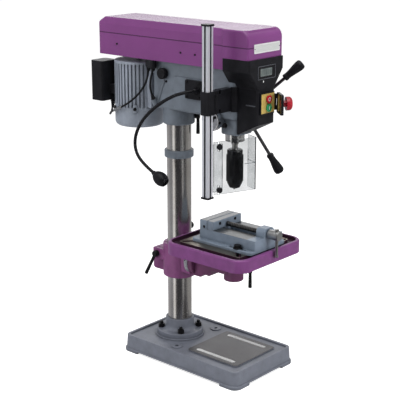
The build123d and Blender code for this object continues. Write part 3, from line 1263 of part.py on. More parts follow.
def belt_lid():
    """Lid of the belt housing, hinged at the rear, with sloped shoulders all round."""
    low = SEAM_Z + SEAT_GAP
    shoulder = LID_TOP - LID_SHOULDER
    body = loft([housing_plan(shoulder, 0), housing_plan(LID_TOP, -LID_DRAFT)])
    body = housing_form(low, shoulder, 0) + fillet(body.edges().group_by(Axis.Z)[-1], LID_ROUND)
    body -= lid_slope(0)
    body += lid_front()
    hollow = housing_form(low - 1, shoulder, -TRAY_WALL)
    wall = LID_DRAFT + LID_ROUND + TRAY_WALL
    side = TRAY_HALF_W - wall
    hollow += block(
        -side, side, BAND_FRONT_Y + FRONT_ROUND, TRAY_REAR_Y - wall, shoulder - 1, LID_TOP - TRAY_WALL,
    )
    body -= hollow - lid_slope(TRAY_WALL)
    hinge_y = TRAY_REAR_Y + HINGE_BEHIND
    inner = HINGE_MIDDLE + SLIDE_GAP
    for side in (-1, 1):
        x0 = side * inner
        x1 = side * HINGE_HALF_L
        body += rod_x(HINGE_KNUCKLE_R, hinge_y, SEAM_Z, min(x0, x1), max(x0, x1))
        body += block(min(x0, x1), max(x0, x1), TRAY_REAR_Y - 1, hinge_y, low, SEAM_Z + 2 * HINGE_KNUCKLE_R)
        body -= rod_x(HINGE_PIN_R + RUNNING_FIT, hinge_y, SEAM_Z, -HINGE_HALF_L - 1, HINGE_HALF_L + 1)
    return body


def step_pulley(y, largest_first, bore_r):
    """Cone pulley: a stack of V grooves whose radii step up or down."""
    points = [(bore_r, PULLEY_BOTTOM)]
    lip = (PULLEY_STEP_H - BELT_H) / 2
    for count in range(PULLEY_STEPS):
        place = PULLEY_STEPS - 1 - count if largest_first else count
        radius = PULLEY_SMALL_R + place * PULLEY_STEP_R
        low = PULLEY_BOTTOM + count * PULLEY_STEP_H
        points.append((radius, low))
        points.append((radius, low + lip))
        points.append((radius - GROOVE_DEPTH, low + lip + 1.5))
        points.append((radius - GROOVE_DEPTH, low + PULLEY_STEP_H - lip - 1.5))
        points.append((radius, low + PULLEY_STEP_H - lip))
        points.append((radius, low + PULLEY_STEP_H))
    points.append((bore_r, PULLEY_TOP))
    profile = Plane.XZ * make_face(Polyline(*points, close=True))
    return Pos(0, y, 0) * revolve(profile, Axis.Z)


def spindle_pulley():
    """Driven cone pulley on the sleeve that turns in the head and drives the spindle."""
    pulley = step_pulley(SPINDLE_Y, True, SPINDLE_DRIVE_R + RUNNING_FIT)
    sleeve = rod_z(PULLEY_SLEEVE_R, 0, SPINDLE_Y, PULLEY_SLEEVE_BOTTOM, PULLEY_BOTTOM)
    return pulley + (

        sleeve - rod_z(SPINDLE_DRIVE_R + RUNNING_FIT, 0, SPINDLE_Y, PULLEY_SLEEVE_BOTTOM - 1, PULLEY_BOTTOM),
    )


def motor_pulley():
    """Driving cone pulley on the motor shaft."""
    return step_pulley(MOTOR_Y, False, MOTOR_SHAFT_R + RUNNING_FIT)


def drive_belt():
    """V belt on the middle steps of the two pulleys."""
    middle = PULLEY_STEPS // 2
    radius = PULLEY_SMALL_R + middle * PULLEY_STEP_R
    low = PULLEY_BOTTOM + middle * PULLEY_STEP_H + (PULLEY_STEP_H - BELT_H) / 2 + 1.5 + SEAT_GAP
    high = low + BELT_H - 2 * (1.5 + SEAT_GAP)
    span = MOTOR_Y - SPINDLE_Y
    inner_r = radius - GROOVE_DEPTH + SEAT_GAP
    place = Pos(0, (MOTOR_Y + SPINDLE_Y) / 2, low) * Rot(0, 0, 90)
    outer = extrude(SlotCenterToCenter(span, 2 * (inner_r + BELT_T)), high - low)
    return place * (outer - extrude(SlotCenterToCenter(span, 2 * inner_r), high - low))


def motor_body():
    """Finned motor body with the stator bore."""
    points = []
    for count in range(MOTOR_FINS):
        turn = 2 * math.pi * (count + 0.5) / MOTOR_FINS
        half = math.pi / MOTOR_FINS
        for radius, offset in ((MOTOR_CORE_R, -half), (MOTOR_CORE_R, -half * 0.35), (MOTOR_R, -half * 0.25),
                               (MOTOR_R, half * 0.25), (MOTOR_CORE_R, half * 0.35)):
            points.append((radius * math.cos(turn + offset), radius * math.sin(turn + offset)))
    finned = Pos(0, MOTOR_Y, MOTOR_BODY_BOTTOM) * extrude(
        make_face(Polyline(*points, close=True)), MOTOR_BODY_TOP - MOTOR_BODY_BOTTOM,
    )
    return finned - rod_z(MOTOR_BORE_R, 0, MOTOR_Y, MOTOR_BODY_BOTTOM - 1, MOTOR_BODY_TOP + 1)


def motor_bell():
    """Lower end bell of the motor with its bearing seat."""
    bell = rod_z(MOTOR_R, 0, MOTOR_Y, MOTOR_BELL_BOTTOM, MOTOR_BODY_BOTTOM)
    bell = fillet(bell.edges().filter_by(GeomType.CIRCLE).group_by(Axis.Z)[0], MOTOR_BELL_ROUND)
    floor = MOTOR_BELL_BOTTOM + 2 * MOTOR_BELL_WALL
    bell -= rod_z(MOTOR_BORE_R, 0, MOTOR_Y, floor, MOTOR_BODY_BOTTOM + 1)
    return bell - rod_z(
        MOTOR_SHAFT_R + RUNNING_FIT, 0, MOTOR_Y, MOTOR_BELL_BOTTOM + MOTOR_BELL_WALL, floor + 1,
    )


def motor_shield():
    """Upper end shield of the motor with its bearing seat."""
    shield = rod_z(MOTOR_R - MOTOR_SHIELD_IN, 0, MOTOR_Y, MOTOR_BODY_TOP, MOTOR_TOP)
    shield = fillet(shield.edges().filter_by(GeomType.CIRCLE).group_by(Axis.Z)[-1], MOTOR_SHIELD_ROUND)
    shield -= rod_z(MOTOR_BORE_R, 0, MOTOR_Y, MOTOR_BODY_TOP - 1, MOTOR_TOP - 2 * MOTOR_BELL_WALL)
    return shield - rod_z(
        MOTOR_SHAFT_R + RUNNING_FIT, 0, MOTOR_Y, MOTOR_TOP - 3 * MOTOR_BELL_WALL, MOTOR_TOP + 1,
    )


def motor_shaft():
    """Motor shaft with the rotor core."""
    low = MOTOR_BELL_BOTTOM + MOTOR_BELL_WALL + SEAT_GAP
    shaft = rod_z(MOTOR_SHAFT_R, 0, MOTOR_Y, low, PULLEY_TOP + MOTOR_PULLEY_TOP_MARGIN)
    return shaft + rod_z(ROTOR_R, 0, MOTOR_Y, MOTOR_BODY_BOTTOM + ROTOR_MARGIN, MOTOR_BODY_TOP - ROTOR_MARGIN)


def motor_plate():
    """Motor plate with its saddle and the two slide bars that enter the head."""
    front = HEAD_REAR_Y + PLATE_GAP
    rear = front + PLATE_T
    plate = slab(2 * PLATE_HALF_W, PLATE_T, SOFT_EDGE, 0, (front + rear) / 2, PLATE_BOTTOM, PLATE_TOP)
    plate += block(
        -SADDLE_HALF_W, SADDLE_HALF_W, rear - 1, MOTOR_Y, MOTOR_BODY_BOTTOM + ROTOR_MARGIN,
        MOTOR_BODY_TOP - ROTOR_MARGIN,
    )
    plate -= rod_z(MOTOR_R + SEAT_GAP, 0, MOTOR_Y, MOTOR_BELL_BOTTOM, MOTOR_TOP)
    for side in (-1, 1):
        plate += rod_y(BAR_R, side * BAR_X, BAR_Z, HEAD_REAR_Y - BAR_DEPTH + 2 * PLATE_GAP, rear)
    return plate


def capacitor_box():
    """Capacitor box on the rear left of the motor, with its foot and the entry of the lead."""
    y = MOTOR_Y + CAP_BOX_BEHIND
    top = CAP_BOX_BOTTOM + CAP_BOX_H
    box = slab(CAP_BOX_W, CAP_BOX_D, CAP_BOX_R, CAP_BOX_X, y, CAP_BOX_BOTTOM, top)
    foot_low = MOTOR_BODY_BOTTOM + 3 * CAP_STRAP_T
    box += block(CAP_BOX_X, CAP_BOX_X + CAP_BOX_W / 2, MOTOR_Y, y, foot_low, foot_low + 2 * CAP_STRAP_T)
    box -= rod_z(MOTOR_R + SEAT_GAP, 0, MOTOR_Y, MOTOR_BELL_BOTTOM, MOTOR_TOP)
    before, end = [Vector(*point) for point in lead_route()[-2:]]
    gland = (end - before).normalized()
    return box + rod_between(end + gland * SEAT_GAP, end + gland * 2 * GLAND_L, GLAND_R)


def front_cover():
    """Moulded front cover: wide at the top, narrow below, with recesses for display and switch."""
    outline = [
        (-COVER_HALF_W, BAND_BOTTOM), (-COVER_HALF_W, COVER_SHOULDER_TOP),
        (-COVER_LOW_HALF_W, COVER_SHOULDER_BOTTOM), (-COVER_LOW_HALF_W, HEAD_BOSS_BOTTOM),
        (COVER_LOW_HALF_W, HEAD_BOSS_BOTTOM), (COVER_LOW_HALF_W, COVER_SHOULDER_BOTTOM),
        (COVER_HALF_W, COVER_SHOULDER_TOP), (COVER_HALF_W, BAND_BOTTOM),
    ]
    rear = SPINDLE_Y - COVER_REAR_AHEAD
    face = Plane(origin=(0, COVER_FRONT_Y, 0), x_dir=(1, 0, 0), z_dir=(0, -1, 0)) * make_face(
        Polyline(*outline, close=True),
    )
    body = extrude(face, rear - COVER_FRONT_Y, dir=(0, 1, 0))
    body = fillet(body.edges().group_by(Axis.Y)[0].sort_by(Axis.Z)[:-1], COVER_EDGE_R)
    body -= block(
        -HEAD_HALF_W - SEAT_GAP, HEAD_HALF_W + SEAT_GAP, HEAD_FRONT_Y - SEAT_GAP, rear + 1,
        HEAD_BOSS_BOTTOM - 1, BAND_BOTTOM + 1,
    )
    inner_w = TRAY_HALF_W + SEAT_GAP
    body -= block(-inner_w, inner_w, TRAY_FRONT_Y - SEAT_GAP, rear + 1, HEAD_TOP - SEAT_GAP, BAND_BOTTOM + 1)
    pocket = COVER_LOW_HALF_W - COVER_WALL
    pocket_front = COVER_FRONT_Y + 2 * COVER_WALL + BEZEL_DEPTH
    body -= block(
        -pocket, pocket, pocket_front, HEAD_FRONT_Y, COVER_BOTTOM + 4 * COVER_WALL,
        HEAD_TOP - 2 * COVER_WALL,
    )
    drop = (HEAD_FRONT_Y - COVER_FRONT_Y) * COVER_BOTTOM_SLOPE
    under = [
        (COVER_FRONT_Y - 1, COVER_BOTTOM), (COVER_FRONT_Y, COVER_BOTTOM), (HEAD_FRONT_Y, COVER_BOTTOM - drop),
        (HEAD_FRONT_Y, HEAD_BOSS_BOTTOM - 2), (COVER_FRONT_Y - 1, HEAD_BOSS_BOTTOM - 2),
    ]
    cut = Plane(origin=(-BASE_W / 2, 0, 0), x_dir=(0, 1, 0), z_dir=(1, 0, 0)) * make_face(
        Polyline(*under, close=True),
    )
    body -= extrude(cut, BASE_W, dir=(1, 0, 0))
    bezel_w = DISPLAY_W / 2 + BEZEL_MARGIN
    bezel_h = DISPLAY_H / 2 + BEZEL_MARGIN
    body -= block(
        -bezel_w, bezel_w, COVER_FRONT_Y - 1, COVER_FRONT_Y + BEZEL_DEPTH, DISPLAY_Z - bezel_h,
        DISPLAY_Z + bezel_h,
    )
    return body


def display_lens():
    """Clear window over the display in the front cover."""
    back = COVER_FRONT_Y + BEZEL_DEPTH
    lens = block(
        -DISPLAY_W / 2, DISPLAY_W / 2, back - DISPLAY_T, back, DISPLAY_Z - DISPLAY_H / 2,
        DISPLAY_Z + DISPLAY_H / 2,
    )
    return fillet(lens.edges().filter_by(Axis.Y), 2)


def button_places():
    """Height and name of the two push buttons on the switch plate."""
    return {"stop_button": SWITCH_Z + BUTTON_STEP, "start_button": SWITCH_Z - BUTTON_STEP}


def flap_hinge():
    """Place of the flap's hinge, on the right edge of the switch plate."""
    return SWITCH_W / 2 + FLAP_KNUCKLE_R + FLAP_GAP, COVER_FRONT_Y - FLAP_KNUCKLE_R - SEAT_GAP


def switch_plate():
    """Switch housing on the front cover, bored for the buttons, with the hinge knuckle of the flap."""
    half = SWITCH_W / 2
    plate = slab(
        SWITCH_W, SWITCH_T, 2, 0, (SWITCH_FACE_Y + COVER_FRONT_Y) / 2, SWITCH_Z - SWITCH_H / 2,
        SWITCH_Z + SWITCH_H / 2,
    )
    for height in button_places().values():
        plate -= rod_y(BUTTON_R + SLIDE_GAP, 0, height, SWITCH_FACE_Y - 1, SWITCH_FACE_Y + BUTTON_DEPTH)
    hinge_x, hinge_y = flap_hinge()
    knuckle = FLAP_H / 6
    plate += rod_z(FLAP_KNUCKLE_R, hinge_x, hinge_y, SWITCH_Z - knuckle, SWITCH_Z + knuckle)
    plate += block(
        half - 1, hinge_x, hinge_y - FLAP_PIN_R, hinge_y + FLAP_KNUCKLE_R, SWITCH_Z - knuckle,
        SWITCH_Z + knuckle,
    )
    return plate - rod_z(FLAP_PIN_R + RUNNING_FIT, hinge_x, hinge_y, SWITCH_Z - FLAP_H, SWITCH_Z + FLAP_H)


def push_button(height):
    """A round push button that travels into the switch housing."""
    back = SWITCH_FACE_Y + BUTTON_DEPTH - BUTTON_TRAVEL - SLIDE_GAP
    button = rod_y(BUTTON_R, 0, height, SWITCH_FACE_Y - BUTTON_PROUD, back)
    return fillet(button.edges().filter_by(GeomType.CIRCLE).group_by(Axis.Y)[0], EDGE_BREAK)


def flap_turn(shape):
    """Swing a piece of the flap from shut to its open rest place."""
    hinge_x, hinge_y = flap_hinge()
    return Pos(hinge_x, hinge_y, 0) * Rot(0, 0, FLAP_OPEN) * Pos(-hinge_x, -hinge_y, 0) * shape


def flap_box():
    """Shut place of the flap: left, right, front and rear."""
    hinge_x, hinge_y = flap_hinge()
    rear = SWITCH_FACE_Y - FLAP_GAP
    return -SWITCH_W / 2, hinge_x - FLAP_KNUCKLE_R - FLAP_GAP, rear - FLAP_T, rear


def switch_flap():
    """Hinged flap over the switch, hollow behind, with a guide for the emergency stop."""
    left, right, front, rear = flap_box()
    hinge_x, hinge_y = flap_hinge()
    low = SWITCH_Z - FLAP_H / 2
    high = SWITCH_Z + FLAP_H / 2
    flap = block(left, right, front, rear, low, high)
    flap = fillet(flap.edges().filter_by(Axis.Y), FLAP_ROUND)
    flap -= block(
        left + FLAP_WALL, right - FLAP_WALL, front + FLAP_WALL, rear + 1, low + FLAP_WALL, high - FLAP_WALL,
    )
    knuckle = FLAP_H / 6 + SLIDE_GAP
    for side in (-1, 1):
        near = SWITCH_Z + side * knuckle
        far = SWITCH_Z + side * FLAP_H / 2 * 0.8
        flap += rod_z(FLAP_KNUCKLE_R, hinge_x, hinge_y, min(near, far), max(near, far))
        leaf_front = rear - 2 * FLAP_WALL
        flap += block(right - FLAP_WALL, hinge_x, leaf_front, rear, min(near, far), max(near, far))
        flap += block(SWITCH_W / 2 + FLAP_GAP, hinge_x, leaf_front, hinge_y, min(near, far), max(near, far))
    flap += rod_z(FLAP_PIN_R, hinge_x, hinge_y, SWITCH_Z - knuckle - 1, SWITCH_Z + knuckle + 1)
    middle = (left + right) / 2
    flap -= rod_y(MUSHROOM_STEM_R + SLIDE_GAP, middle, SWITCH_Z, front - 1, front + FLAP_WALL + 1)
    return flap_turn(flap)


def emergency_button():
    """Mushroom stop button through the flap."""
    left, right, front, rear = flap_box()
    middle = (left + right) / 2
    head_back = front - MUSHROOM_NECK
    head = rod_y(MUSHROOM_R, middle, SWITCH_Z, head_back - MUSHROOM_T, head_back)
    head = fillet(head.edges().filter_by(GeomType.CIRCLE).group_by(Axis.Y)[0], MUSHROOM_ROUND)
    stem = rod_y(MUSHROOM_STEM_R, middle, SWITCH_Z, head_back, front + FLAP_WALL)
    return flap_turn(head + stem)


def guard_pivot():
    """Place of the pivot on which the guard swings away."""
    return POST_X + GUARD_PIVOT_OFFSET, POST_Y


def guard_bracket():
    """Bracket on the left of the head with the knuckle of the guard pivot."""
    x, y = guard_pivot()
    low = GUARD_SLEEVE_BOTTOM + GUARD_EAR_T + SLIDE_GAP
    high = GUARD_SLEEVE_TOP - GUARD_EAR_T - SLIDE_GAP
    body = rod_z(GUARD_KNUCKLE_R, x, y, low, high)
    body += block(x, -HEAD_HALF_W, y - GUARD_BLOCK_HALF_D, y + GUARD_BLOCK_HALF_D, low, high)
    post_gap = GUARD_KNUCKLE_R + 2
    body += block(
        x + post_gap, -HEAD_HALF_W, y - GUARD_BLOCK_HALF_D, y + GUARD_BLOCK_HALF_D, GUARD_SLEEVE_BOTTOM,
        GUARD_SLEEVE_TOP,
    )
    return body - rod_z(GUARD_PIVOT_R + RUNNING_FIT, x, y, low - 1, high + 1)


def guard_clamp():
    """Clamp round the guard post, with two ears and the pin of the pivot."""
    x, y = guard_pivot()
    outer = POST_W + 2 * GUARD_SLEEVE_WALL
    body = slab(outer, outer, SOFT_EDGE, POST_X, POST_Y, GUARD_SLEEVE_BOTTOM, GUARD_SLEEVE_TOP)
    ears = (GUARD_SLEEVE_BOTTOM, GUARD_SLEEVE_TOP - GUARD_EAR_T)
    for low in ears:
        body += block(POST_X, x, y - GUARD_BLOCK_HALF_D, y + GUARD_BLOCK_HALF_D, low, low + GUARD_EAR_T)
        body += rod_z(GUARD_BLOCK_HALF_D, x, y, low, low + GUARD_EAR_T)
    body += rod_z(GUARD_PIVOT_R, x, y, GUARD_SLEEVE_BOTTOM + 1, GUARD_SLEEVE_TOP - 1)
    hole = POST_W + 2 * RUNNING_FIT
    return body - block(
        POST_X - hole / 2, POST_X + hole / 2, POST_Y - hole / 2, POST_Y + hole / 2,
        GUARD_SLEEVE_BOTTOM - 1, GUARD_SLEEVE_TOP + 1,
    )


def guard_post():
    """Extruded post with a groove along each face."""
    post = slab(POST_W, POST_W, 2, POST_X, POST_Y, POST_BOTTOM, POST_TOP)
    half = POST_W / 2
    groove = POST_GROOVE_W / 2
    for quarter in range(4):
        cut = block(half - POST_GROOVE_DEPTH, half + 1, -groove, groove, POST_BOTTOM - 1, POST_TOP + 1)
        post -= Pos(POST_X, POST_Y, 0) * Rot(0, 0, 90 * quarter) * cut
    return post


def guard_fittings():
    """Moulded fittings of the post: a cap on each end, and the two knobs that pinch the shield."""
    width = POST_W + 2 * POST_CAP_OVER
    low = slab(width, width, SOFT_EDGE, POST_X, POST_Y, POST_BOTTOM - POST_CAP_T, POST_BOTTOM)
    high = slab(width, width, SOFT_EDGE, POST_X, POST_Y, POST_TOP, POST_TOP + POST_CAP_T)
    return Compound([low, high] + guard_knobs())


def shield_place():
    """Frame of the shield: origin at its left edge, X along the panel, Z up, outward side -Y."""
    x = POST_X + POST_W / 2 + SEAT_GAP
    y = POST_Y - POST_W / 2 + HOLDER_T
    return Pos(x, y, SHIELD_BOTTOM) * Rot(0, 0, SHIELD_TURN)


def knob_heights():
    """Heights of the two guard knobs over the shield's lower edge."""
    return GUARD_KNOB_IN, SHIELD_H - GUARD_KNOB_IN


def guard_knobs():
    """The two knobs that pinch the shield on its holder, with their studs."""
    front = -SHIELD_T - 2 * SEAT_GAP
    knobs = []
    for height in knob_heights():
        knob = rod_y(GUARD_KNOB_R, SHIELD_SLOT_IN, height, front - GUARD_KNOB_L, front)
        knob = fillet(knob.edges().filter_by(GeomType.CIRCLE), EDGE_BREAK)
        stud = rod_y(GUARD_STUD_R, SHIELD_SLOT_IN, height, front - 1, HOLDER_T)
        knobs.append(shield_place() * (knob + stud))
    return knobs


def guard_holder():
    """Clear holder on the post behind the shield, bored for the studs of the two knobs."""
    holder = block(-HOLDER_IN, HOLDER_L, 0, HOLDER_T, HOLDER_MARGIN, SHIELD_H - HOLDER_MARGIN)
    for height in knob_heights():
        holder -= rod_y(GUARD_STUD_R + RUNNING_FIT, SHIELD_SLOT_IN, height, -1, HOLDER_T + 1)
    post = slab(POST_W + SEAT_GAP, POST_W + SEAT_GAP, HOLDER_IN, POST_X, POST_Y, POST_BOTTOM, POST_TOP)
    return shield_place() * holder - post


def guard_shield():
    """Clear shield round the front of the chuck: a panel with two wings and two slots for the knobs."""
    front = -SEAT_GAP - SHIELD_T
    panel = block(SHIELD_LEFT, SHIELD_W, front, front + SHIELD_T, 0, SHIELD_H)
    wing = block(SHIELD_W - SHIELD_T, SHIELD_W, front, front + SHIELD_WING, 0, SHIELD_H)
    body = panel + wing
    edge = body.edges().filter_by(Axis.Z).filter_by_position(Axis.X, SHIELD_W - 0.01, SHIELD_W + 0.01)
    body = fillet(edge.sort_by(Axis.Y)[0], SHIELD_ROUND)
    for height in knob_heights():
        slot = Plane(origin=(SHIELD_SLOT_IN, front, height), x_dir=(0, 0, 1), z_dir=(0, 1, 0))
        body -= slot * extrude(SlotOverall(SHIELD_SLOT_L, SHIELD_SLOT_W), 2 * SHIELD_T, both=True)
    return shield_place() * body


def lamp_plate():
    """Square plate of the lamp on the left of the head, with the socket of its neck."""
    y = COLUMN_Y - LAMP_PLATE_AHEAD
    seat = -HEAD_HALF_W - PANEL_T
    plate = block(
        seat - LAMP_PLATE_T, seat, y - LAMP_PLATE_W / 2, y + LAMP_PLATE_W / 2,
        LAMP_PLATE_Z - LAMP_PLATE_H / 2, LAMP_PLATE_Z + LAMP_PLATE_H / 2,
    )
    return fillet(plate.edges().filter_by(Axis.X), LAMP_PLATE_ROUND)


def neck_route():
    """Points of the lamp neck from its plate to the lamp, as shares of its reach out, back and down."""
    start = -HEAD_HALF_W - PANEL_T - LAMP_PLATE_T
    plate_y = COLUMN_Y - LAMP_PLATE_AHEAD - NECK_AHEAD
    shares = [
        (0, 0, 0), (0.29, 0, 0), (0.48, 0.07, 0.01), (0.58, 0.25, 0.05), (0.71, 0.45, 0.13),
        (0.88, 0.68, 0.26), (0.97, 0.87, 0.41), (1, 1, 0.59), (0.99, 1, 0.77), (0.93, 0.85, 0.91),
        (0.87, 0.63, 1),
    ]
    return [
        (start - out * NECK_OUT, plate_y + back * NECK_BACK, LAMP_PLATE_Z - down * NECK_DROP)
        for out, back, down in shares
    ]


def bent_tube(route, radius):
    """A tube along straight runs joined by arcs as large as the runs allow; prints the bend radii."""
    points = [Vector(*point) for point in route]
    radii = []
    for before, corner, after in zip(points, points[1:], points[2:]):
        shorter = min((corner - before).length, (after - corner).length)
        turn = math.radians((corner - before).get_angle(after - corner))
        radii.append(0.45 * shorter / math.tan(turn / 2))
    path = FilletPolyline(*points, radius=radii)
    ring = Plane(origin=points[0], z_dir=points[1] - points[0]) * Circle(radius)
    tube = sweep(ring, path)
    print("bend radii", [round(value, 1) for value in radii], "length", round(path.length, 1))
    print("volume over section times length", round(tube.volume / (math.pi * radius ** 2 * path.length), 4))
    return tube


def lamp_gooseneck():
    """Flexible lamp neck, held in its bent place."""
    return bent_tube(neck_route(), NECK_TUBE_R)


def lamp_head():
    """Egg-shaped lamp head, widest beyond its middle, hollow and open at its front."""
    before, end = [Vector(*point) for point in neck_route()[-2:]]
    along = (end - before).normalized()
    middle = end + along * (LAMP_HEAD_L * LAMP_CONE)
    halfway = (end + middle) * 0.5
    front = end + along * LAMP_HEAD_L
    throat = LAMP_HEAD_R * LAMP_THROAT
    lip = LAMP_HEAD_R * LAMP_LIP
    head = rod_between(end, middle, throat, LAMP_HEAD_R) + rod_between(middle, front, LAMP_HEAD_R, lip)
    inside = LAMP_HEAD_R - LAMP_HEAD_WALL
    head -= rod_between(halfway, middle, (throat + LAMP_HEAD_R) / 2 - LAMP_HEAD_WALL, inside)
    return head - rod_between(middle, front, inside, lip - LAMP_HEAD_WALL)


def lead_route():
    """Points of the motor lead: out of the tray, round the motor and into the capacitor box."""
    shares = [
        (0, 0, 0), (0, 0, 0.14), (0.12, 0.04, 0.35), (0.44, 0.15, 0.55), (0.8, 0.32, 0.71), (1, 0.55, 0.83),
        (0.83, 0.77, 0.91), (0.29, 0.93, 1), (-0.2, 0.99, 0.94), (-0.34, 1, 0.8),
    ]
    return [
        (LEAD_X - out * LEAD_OUT, COLUMN_Y + LEAD_BEHIND + back * LEAD_BACK, GLAND_BOTTOM - down * LEAD_DROP)
        for out, back, down in shares
    ]


def motor_lead():
    """Lead from the belt tray to the capacitor box."""
    return bent_tube(lead_route(), LEAD_R)


def head_lead_route():
    """Points of the short lead on the left of the head, from under the tray to its gland on the head."""
    shares = [(0, 0, 0), (0, 0, 0.17), (0.5, 0.5, 0.43), (1, 0.17, 0.75), (-0.17, 0.17, 1)]
    start_y = COLUMN_Y + HEAD_LEAD_BEHIND
    return [
        (
            HEAD_LEAD_X - out * HEAD_LEAD_OUT, start_y + back * HEAD_LEAD_OUT,
            GLAND_BOTTOM - down * HEAD_LEAD_DROP,
        )
        for out, back, down in shares
    ]


def head_lead():
    """Short lead beside the motor lock knob."""
    return bent_tube(head_lead_route(), LEAD_R)


NODES = {
    "base_plate": base_plate, "column_flange": column_flange, "flange_bolts": flange_bolts, "column": column,
    "rack_collar": rack_collar, "table_rack": table_rack, "table_bracket": table_bracket,
    "crank_shaft": crank_shaft, "crank_handle": crank_handle, "clamp_lever": clamp_lever,
    "table_arm": table_arm, "table_lock_lever": table_lock_lever, "table": table, "vice_base": vice_base,
    "vice_jaw": vice_jaw, "vice_screw": vice_screw, "tommy_bar": tommy_bar, "head_casting": head_casting,
    "motor_lock_knob": motor_lock_knob, "head_lever": head_lever, "quill": quill, "spindle": spindle,
    "chuck_body": chuck_body, "chuck_sleeve": chuck_sleeve, "feed_shaft": feed_shaft, "feed_arms": feed_arms,
    "feed_grips": feed_grips, "spring_case": spring_case, "belt_tray": belt_tray, "belt_lid": belt_lid,
    "spindle_pulley": spindle_pulley, "motor_pulley": motor_pulley, "drive_belt": drive_belt,
    "motor_body": motor_body, "motor_bell": motor_bell, "motor_shield": motor_shield,
    "motor_shaft": motor_shaft, "motor_plate": motor_plate, "capacitor_box": capacitor_box,
    "front_cover": front_cover, "display_lens": display_lens, "switch_plate": switch_plate,
    "switch_flap": switch_flap, "emergency_button": emergency_button, "guard_bracket": guard_bracket,
    "guard_clamp": guard_clamp, "guard_post": guard_post, "guard_fittings": guard_fittings,
    "guard_holder": guard_holder,
    "guard_shield": guard_shield, "lamp_plate": lamp_plate, "lamp_gooseneck": lamp_gooseneck,
    "lamp_head": lamp_head, "motor_lead": motor_lead, "head_lead": head_lead,
}

os.makedirs("parts", exist_ok=True)
for node, make in NODES.items():
    export_step(make(), f"parts/{node}.step")
for node, height in button_places().items():
    export_step(push_button(height), f"parts/{node}.step")
for count, (tip, upward) in enumerate(jaw_axes(), start=1):
    jaw = rod_between(tip, tip + upward * JAW_LEN, JAW_R)
    export_step(jaw, f"parts/chuck_jaw_{count}.step")
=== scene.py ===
import math

import bmesh
import bpy
import numpy as np
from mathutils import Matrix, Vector


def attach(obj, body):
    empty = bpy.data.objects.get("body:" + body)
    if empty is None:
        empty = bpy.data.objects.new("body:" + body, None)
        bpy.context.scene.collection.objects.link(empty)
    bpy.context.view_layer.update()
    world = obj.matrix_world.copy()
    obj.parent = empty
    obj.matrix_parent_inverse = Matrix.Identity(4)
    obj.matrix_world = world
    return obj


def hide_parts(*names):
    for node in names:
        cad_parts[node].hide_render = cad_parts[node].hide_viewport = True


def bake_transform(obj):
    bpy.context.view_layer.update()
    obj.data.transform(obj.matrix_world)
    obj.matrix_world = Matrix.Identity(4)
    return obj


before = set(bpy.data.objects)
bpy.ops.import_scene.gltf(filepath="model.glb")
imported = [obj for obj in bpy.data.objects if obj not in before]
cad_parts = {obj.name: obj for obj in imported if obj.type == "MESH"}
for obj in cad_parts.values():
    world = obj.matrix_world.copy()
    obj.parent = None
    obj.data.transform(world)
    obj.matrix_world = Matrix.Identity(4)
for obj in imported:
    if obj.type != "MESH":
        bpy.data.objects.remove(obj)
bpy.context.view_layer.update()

# Studio
# A pale floor in a white room, lit by large soft lamps above, beside and behind the machine. The room
# is dark behind the camera, between two white strips, which is what the bright column reflects.
scene = bpy.context.scene
scene.view_settings.view_transform = "Standard"

camera_eye = Vector((-2.262, -2.012, 1.349))
camera_back = Vector((-0.7207, -0.6367, 0.2743))
lens = bpy.data.cameras.new("studio_lens")
lens.lens = 95.76
lens.sensor_width = 36.0
camera = bpy.data.objects.new("studio_camera", lens)
camera.location = camera_eye
camera.rotation_euler = camera_back.to_track_quat("Z", "Y").to_euler()
scene.collection.objects.link(camera)
scene.camera = camera


def soft_lamp(name, place, aim, width, height, power, mirrored=False):
    """A rectangular soft lamp of a width and height at a place, turned to face the aim point."""
    data = bpy.data.lights.new(name, "AREA")
    data.shape = "RECTANGLE"
    data.size = width
    data.size_y = height
    data.energy = power
    lamp = bpy.data.objects.new(name, data)
    lamp.location = place
    lamp.rotation_euler = (Vector(place) - Vector(aim)).to_track_quat("Z", "Y").to_euler()
    lamp.visible_camera = False
    lamp.visible_glossy = mirrored
    scene.collection.objects.link(lamp)


machine_middle = (0.0, -0.05, 0.55)
machine_top = (0.0, 0.05, 1.0)
soft_lamp("lamp_overhead", (-0.6, -0.6, 3.0), machine_middle, width=2.4, height=2.4, power=40, mirrored=True)
soft_lamp("lamp_left", (-2.5, 1.7, 1.5), machine_middle, width=1.4, height=2.2, power=38)
soft_lamp("lamp_right", (0.5, -3.0, 1.5), machine_middle, width=1.4, height=2.2, power=48)
soft_lamp("lamp_behind", (2.25, 2.04, 1.90), machine_top, width=3.0, height=0.8, power=16, mirrored=True)


def add_node(tree, kind, inputs=(), **settings):
    """Adds a shader node; inputs map a socket's name or number to a value or to a socket to link."""
    made = tree.nodes.new("ShaderNode" + kind)
    for key, value in settings.items():
        setattr(made, key, value)
    for key, value in dict(inputs).items():
        if isinstance(value, bpy.types.NodeSocket):
            tree.links.new(value, made.inputs[key])
        else:
            made.inputs[key].default_value = value
    return made


def reckon(tree, operation, first, second=0.0):
    """One arithmetic step on two values or sockets."""
    return add_node(tree, "Math", {0: first, 1: second}, operation=operation).outputs[0]


def set_stops(ramp, stops):
    """Sets a colour ramp's stops from pairs of position and colour."""
    elements = ramp.color_ramp.elements
    for count, (position, colour) in enumerate(stops):
        element = elements[count] if count < 2 else elements.new(position)
        element.position = position
        element.color = colour


